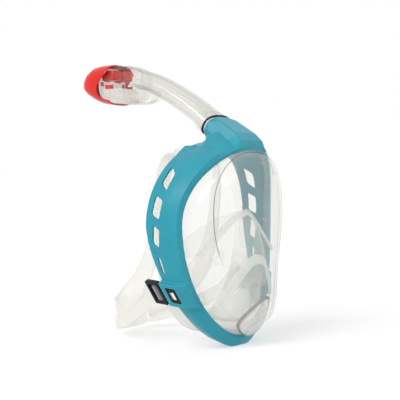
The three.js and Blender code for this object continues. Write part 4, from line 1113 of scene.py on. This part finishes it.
def dry_top_cap():
    """The red cap that wraps the open end, with a tongue over the top and one under the bottom."""
    sections = [head_at(146.5)]
    knots = [head_at(147)] + HEAD[4:] + CAP_END
    for a, b in zip(knots[:-1], knots[1:]):
        sections += [tuple(mix(np.array(a), np.array(b), share)) for share in (0.06, 0.5, 0.94)]
    sections.append(CAP_END[-1])
    outer = [head_loop(s, -1.9) for s in sections]
    outer[0] = head_loop(sections[0], -1.5)
    last = sections[-1]
    rounding = ((0.7, -1.5), (1.2, -0.6), (1.6, 3))
    ends = [head_loop((last[0] + rise, *last[1:]), inset) for rise, inset in rounding]
    inner = [head_loop(s, -GAP) for s in sections[:-1]]
    body = loft("dry_top_cap_moulding", ends[::-1] + outer[::-1] + inner)
    edge = [(136, 170.8), (143.7, 166), (151, 159.3), (156, 153.2), (160, 146), (158.7, 138.8)]
    outline = [*spline(edge + [(151, 133.7), (136, 131.6)], 8), (100, 131), (100, 171.4)]
    cut(body, loft("side_window", [np.insert(outline, 0, x, axis=1) for x in (-60, 60)]))
    show(bevel(body, 0.35, 2, 50), "snorkel", RED, "dry_top_cap", sharp=40)


def float_blocks():
    """Each float is a rounded red block with a fine groove around its middle."""
    half = [(6, 2), (5.7, 1), (5, 0.3), (4, 0), (0.5, 0), (0.3, 0.5)]
    stations = [(-y, inset) for y, inset in half] + half[::-1]
    left = loft("float_block_left", [float_loop(FLOAT["y"] + y, -inset) for y, inset in stations])
    show_pair(left, "float_", RED, "float_")


def exhaust_hood():
    sections = [(99, 16, 132.5, 146), (105, 19.5, 128.6, 146), (116.4, 21, 127.4, 146)]
    body = loft("exhaust_hood_shell", [head_loop(s, 0) for s in spline(sections, 6)])
    room = [(100.5, 16, 132.5, 152), (105, 19.5, 128.6, 152), (120, 21, 127.4, 152)]
    cut(body, loft("room", [head_loop(s, 1.5) for s in room]))
    cut(body, tube_room())
    for k in range(-2, 3):
        cut(body, block("vent", LEVEL, (6 * k, 110, 127), (3.2, 7, 6), 0.6))
    show(body, "snorkel", CLEAR, "exhaust_hood", sharp=40)


# ---- buckles, buttons and straps


def buckle():
    """The black frame round the roller, and the tongue that plugs into the side pad."""
    width, height, thick = BUCKLE_SIZE.values()
    centre = width / 2 + 0.6
    body = block("buckle_frame_left", AT_BUCKLE, (centre, 0, 0), (width, height, thick), 1.2)
    cut(body, block("opening", AT_BUCKLE, (centre, 0, 0), (width - 4.6, height - 6, thick + 4), 0.8))
    cut(body, block("pivot", AT_BUCKLE, (ROLLER["x"], 0, 0), (2.6, height - 2.2, 2.6)))
    bevel(body, 0.45, 3, 40)
    neck = block("neck", AT_BUCKLE, (0.4, 0, -2.2), (3.6, TONGUE["tall"], 1.6))
    tongue_size = (TONGUE["long"], TONGUE["tall"], TONGUE["thick"])
    tongue = block("tongue", AT_BUCKLE, (0.6 - TONGUE["long"] / 2, 0, TONGUE["depth"]), tongue_size, 2)
    join(body, neck, bevel(tongue, 0.4))
    show_pair(body, "buckle_", BLACK, "buckle_", sharp=40)


def strap_roller():
    """A roller with ribs along it that grip the strap."""
    height = BUCKLE_SIZE["height"]
    length = height - 8.9
    y = unit(AT_BUCKLE.axes[1])
    out = AT_BUCKLE.axes[2]
    square = Place(np.cross(y, out), out, y, AT_BUCKLE.at((ROLLER["x"], 0, 0)))
    full, pin = ROLLER["radius"], ROLLER["pin"]
    half = [(height / 2 - 1.6, pin), (length / 2 + 0.01, pin)]
    half += [(length / 2, full - 0.4), (length / 2 - 0.5, full)]
    loops = []
    for h, radius in [(-h, radius) for h, radius in half] + half[::-1]:
        depth = 0.9 if radius > pin else 0
        loop = []
        for a in turns(96):
            r = radius - depth * (cos(ROLLER["ribs"] * a) < -0.2)
            loop.append(square.at((r * cos(a), r * sin(a), h)))
        loops.append(loop)
    body = loft("roller_ribbed_left", loops)
    show_pair(body, "roller_", GREY, "strap_roller_", sharp=30)


def release_button():
    """A black key with a sunk panel and a plain two-tone wedge to push on."""
    deep, tall, thick = BUTTON["deep"], BUTTON["tall"], BUTTON["thick"]
    x, top = BUTTON["centre"], BUTTON["top"]
    body = block("button_key_left", AT_BUCKLE, (x, 0, top - thick / 2), (deep, tall, thick), 0.6)
    cut(body, block("panel", AT_BUCKLE, (x, 0, top + 0.6), (deep - 3, tall - 3, 2), 0.6))
    bevel(body, 0.25, 2, 40)
    paint(body, BLACK, PALE, GREY)
    split = 0.6
    for index, (low, high) in enumerate(((-split, deep / 2 - 3), (-deep / 2 + 3, -split))):
        width = high - low - 0.2
        wedge = block("wedge", AT_BUCKLE, (x - (low + high) / 2, 0, top - 0.35), (width, tall - 8, 0.7), 0.5)
        append(body, in_material(1 + index, bevel(wedge, 0.15, 2, 40)))
    show_pair(body, "release_button_", BLACK, "release_button_", sharp=40)


def strap_arm():
    """The upper arm, from the frame's top corner, behind the wing, down to the rear pad."""
    line = [(39, 23, 72.4), (39.1, 30, 72.4), (40, 38, 72), (45, 43.5, 60), (49, 48, 36), (51, 52, 8)]
    line += [(50.5, 57, -22), (50, 66, -46), (47, 82, -68), (36, 108, -87), (22, 131.5, -101)]
    across = [(0.84, 0, -0.54), (0.84, 0, -0.54), (0.84, 0.1, -0.5), (0.6, 0.7, -0.1), (0.25, 0.95, 0.1)]
    across += [(0.1, 0.97, 0.2), (0, 0.9, 0.42), (-0.1, 0.8, 0.6), (-0.15, 0.65, 0.74), (-0.25, 0.4, 0.88)]
    across += [(-0.2, 0.2, 0.95)]
    wide = [13, 13, 14, 15, 15, 15, 17, 22, 27, 31, 32]
    return ribbon("arm", line, across, wide, STRAP_THICK)


def head_strap():
    stations = [-24, -16, -8, 0, 8, 16, 24]
    line = [(x, 139 - 0.013 * x * x, -107 + 0.006 * x * x) for x in stations]
    pad = ribbon("head_strap_band", line, [(0, 0.25, 1)] * 7, [34, 36, 36, 36, 36, 36, 34], STRAP_THICK, 6)
    join(pad, *both_sides(strap_arm()))
    show(pad, "mask", STRAP, "head_strap", sharp=60)


def lower_straps():
    """The straps from the rear pad to the rollers."""
    y = AT_BUCKLE.axes[1]
    line = [(28.5, 129, -114), (42.5, 107, -108.5), (57, 76, -95), (67, 52, -80)]
    line += [AT_BUCKLE.at((20, 0, -4.3)), AT_BUCKLE.at((6, 0, -4.3))]
    across = [(0, 0.25, 1), (0, 0.1, 1), (0.1, 0.1, 1), (0.3, 0.15, 0.95), y, y]
    left = ribbon("lower_strap_band_left", line, across, [15] * 6, STRAP_THICK)
    straps = show_pair(left, None, STRAP, "lower_strap_", sharp=60)
    for side, piece, sign in zip(("left", "right"), straps, (1, -1)):
        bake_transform(piece)


# ---- CAD nodes that stay


def finish_cad_nodes():
    """The small inner pieces keep their CAD shape and get their materials here."""
    looks = {"flap": SILICONE, "valve_disc": SILICONE, "valve_seat": CLEAR, "valve_plate": CLEAR}
    looks.update({"seal_pad": RED, "ring_screw": STEEL})
    for name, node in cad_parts.items():
        for key, material in looks.items():
            if key in name:
                paint(node, material)


# ---- floor, light and camera

FLOOR_HALF = 40.0
VIEW_AZIMUTH = radians(-55)
VIEW_ELEVATION = radians(3)
VIEW_DISTANCE = 1.0
SENSOR = 36.0
FOCAL_LENGTH = 85.5
SHIFT = (-0.065, 0.055)  # of the picture off the rim's middle, as shares of its side


def floor():
    """A pale floor, half of whose brightness is its own."""
    mesh = bpy.data.meshes.new("studio_floor")
    mesh.from_pydata(np.insert(SQUARE * FLOOR_HALF, 2, 0, axis=1).tolist(), [], [(0, 1, 2, 3)])
    made, tree = new_material("pale_floor")
    matt = add(tree, "BsdfDiffuse", "BSDF", Color=colour(250, 250, 250))
    lit = add(tree, "Emission", "Emission", Color=colour(255, 255, 255), Strength=1.0)
    output(tree, mix_shader(tree, 0.5, matt, lit))
    mesh.materials.append(made)
    new_object("studio_floor", mesh)


def lights():
    """A white surround that lights the mask less than it shows, and two soft suns."""
    world = bpy.data.worlds.new("studio")
    bpy.context.scene.world = world
    world.use_nodes = True
    tree = world.node_tree
    tree.nodes.clear()
    strength = spread(tree, add(tree, "LightPath", "Is Diffuse Ray"), 1.0, 0.66, 0, 1)
    sky = add(tree, "Background", "Background", Color=colour(255, 255, 255), Strength=strength)
    output(tree, sky, "World")
    for name, strength, spin, tilt in (("key", 1.9, -95, 50), ("fill", 0.5, 20, 65)):
        data = bpy.data.lights.new(name, "SUN")
        data.energy = strength
        data.angle = radians(35)
        new_object(name, data).rotation_euler = (radians(tilt), 0, radians(spin))


def camera():
    data = bpy.data.cameras.new("camera")
    data.sensor_width = SENSOR
    data.lens = FOCAL_LENGTH
    data.shift_x, data.shift_y = SHIFT
    data.clip_start = 0.01
    eye = new_object("camera", data)
    direction = vec(
        sin(VIEW_AZIMUTH) * cos(VIEW_ELEVATION),
        -cos(VIEW_AZIMUTH) * cos(VIEW_ELEVATION),
        sin(VIEW_ELEVATION),
    )
    eye.location = RIM_ORIGIN * MM + direction * VIEW_DISTANCE
    eye.rotation_euler = (pi / 2 - VIEW_ELEVATION, 0, VIEW_AZIMUTH)
    bpy.context.scene.camera = eye


mask = (outer_frame, lens, drain_cover, face_skirt, retaining_ring, nose_pocket)
snorkel = (snorkel_tube, socket_sleeve, tube_collar, tube_o_ring)
dry_top = (dry_top_body, dry_top_cap, float_blocks, exhaust_hood)
straps = (buckle, strap_roller, release_button, head_strap, lower_straps)
for build in (*mask, *snorkel, *dry_top, *straps, finish_cad_nodes, floor, lights, camera):
    build()

scene = bpy.context.scene
scene.view_settings.view_transform = "Standard"
scene.cycles.transparent_max_bounces = 48
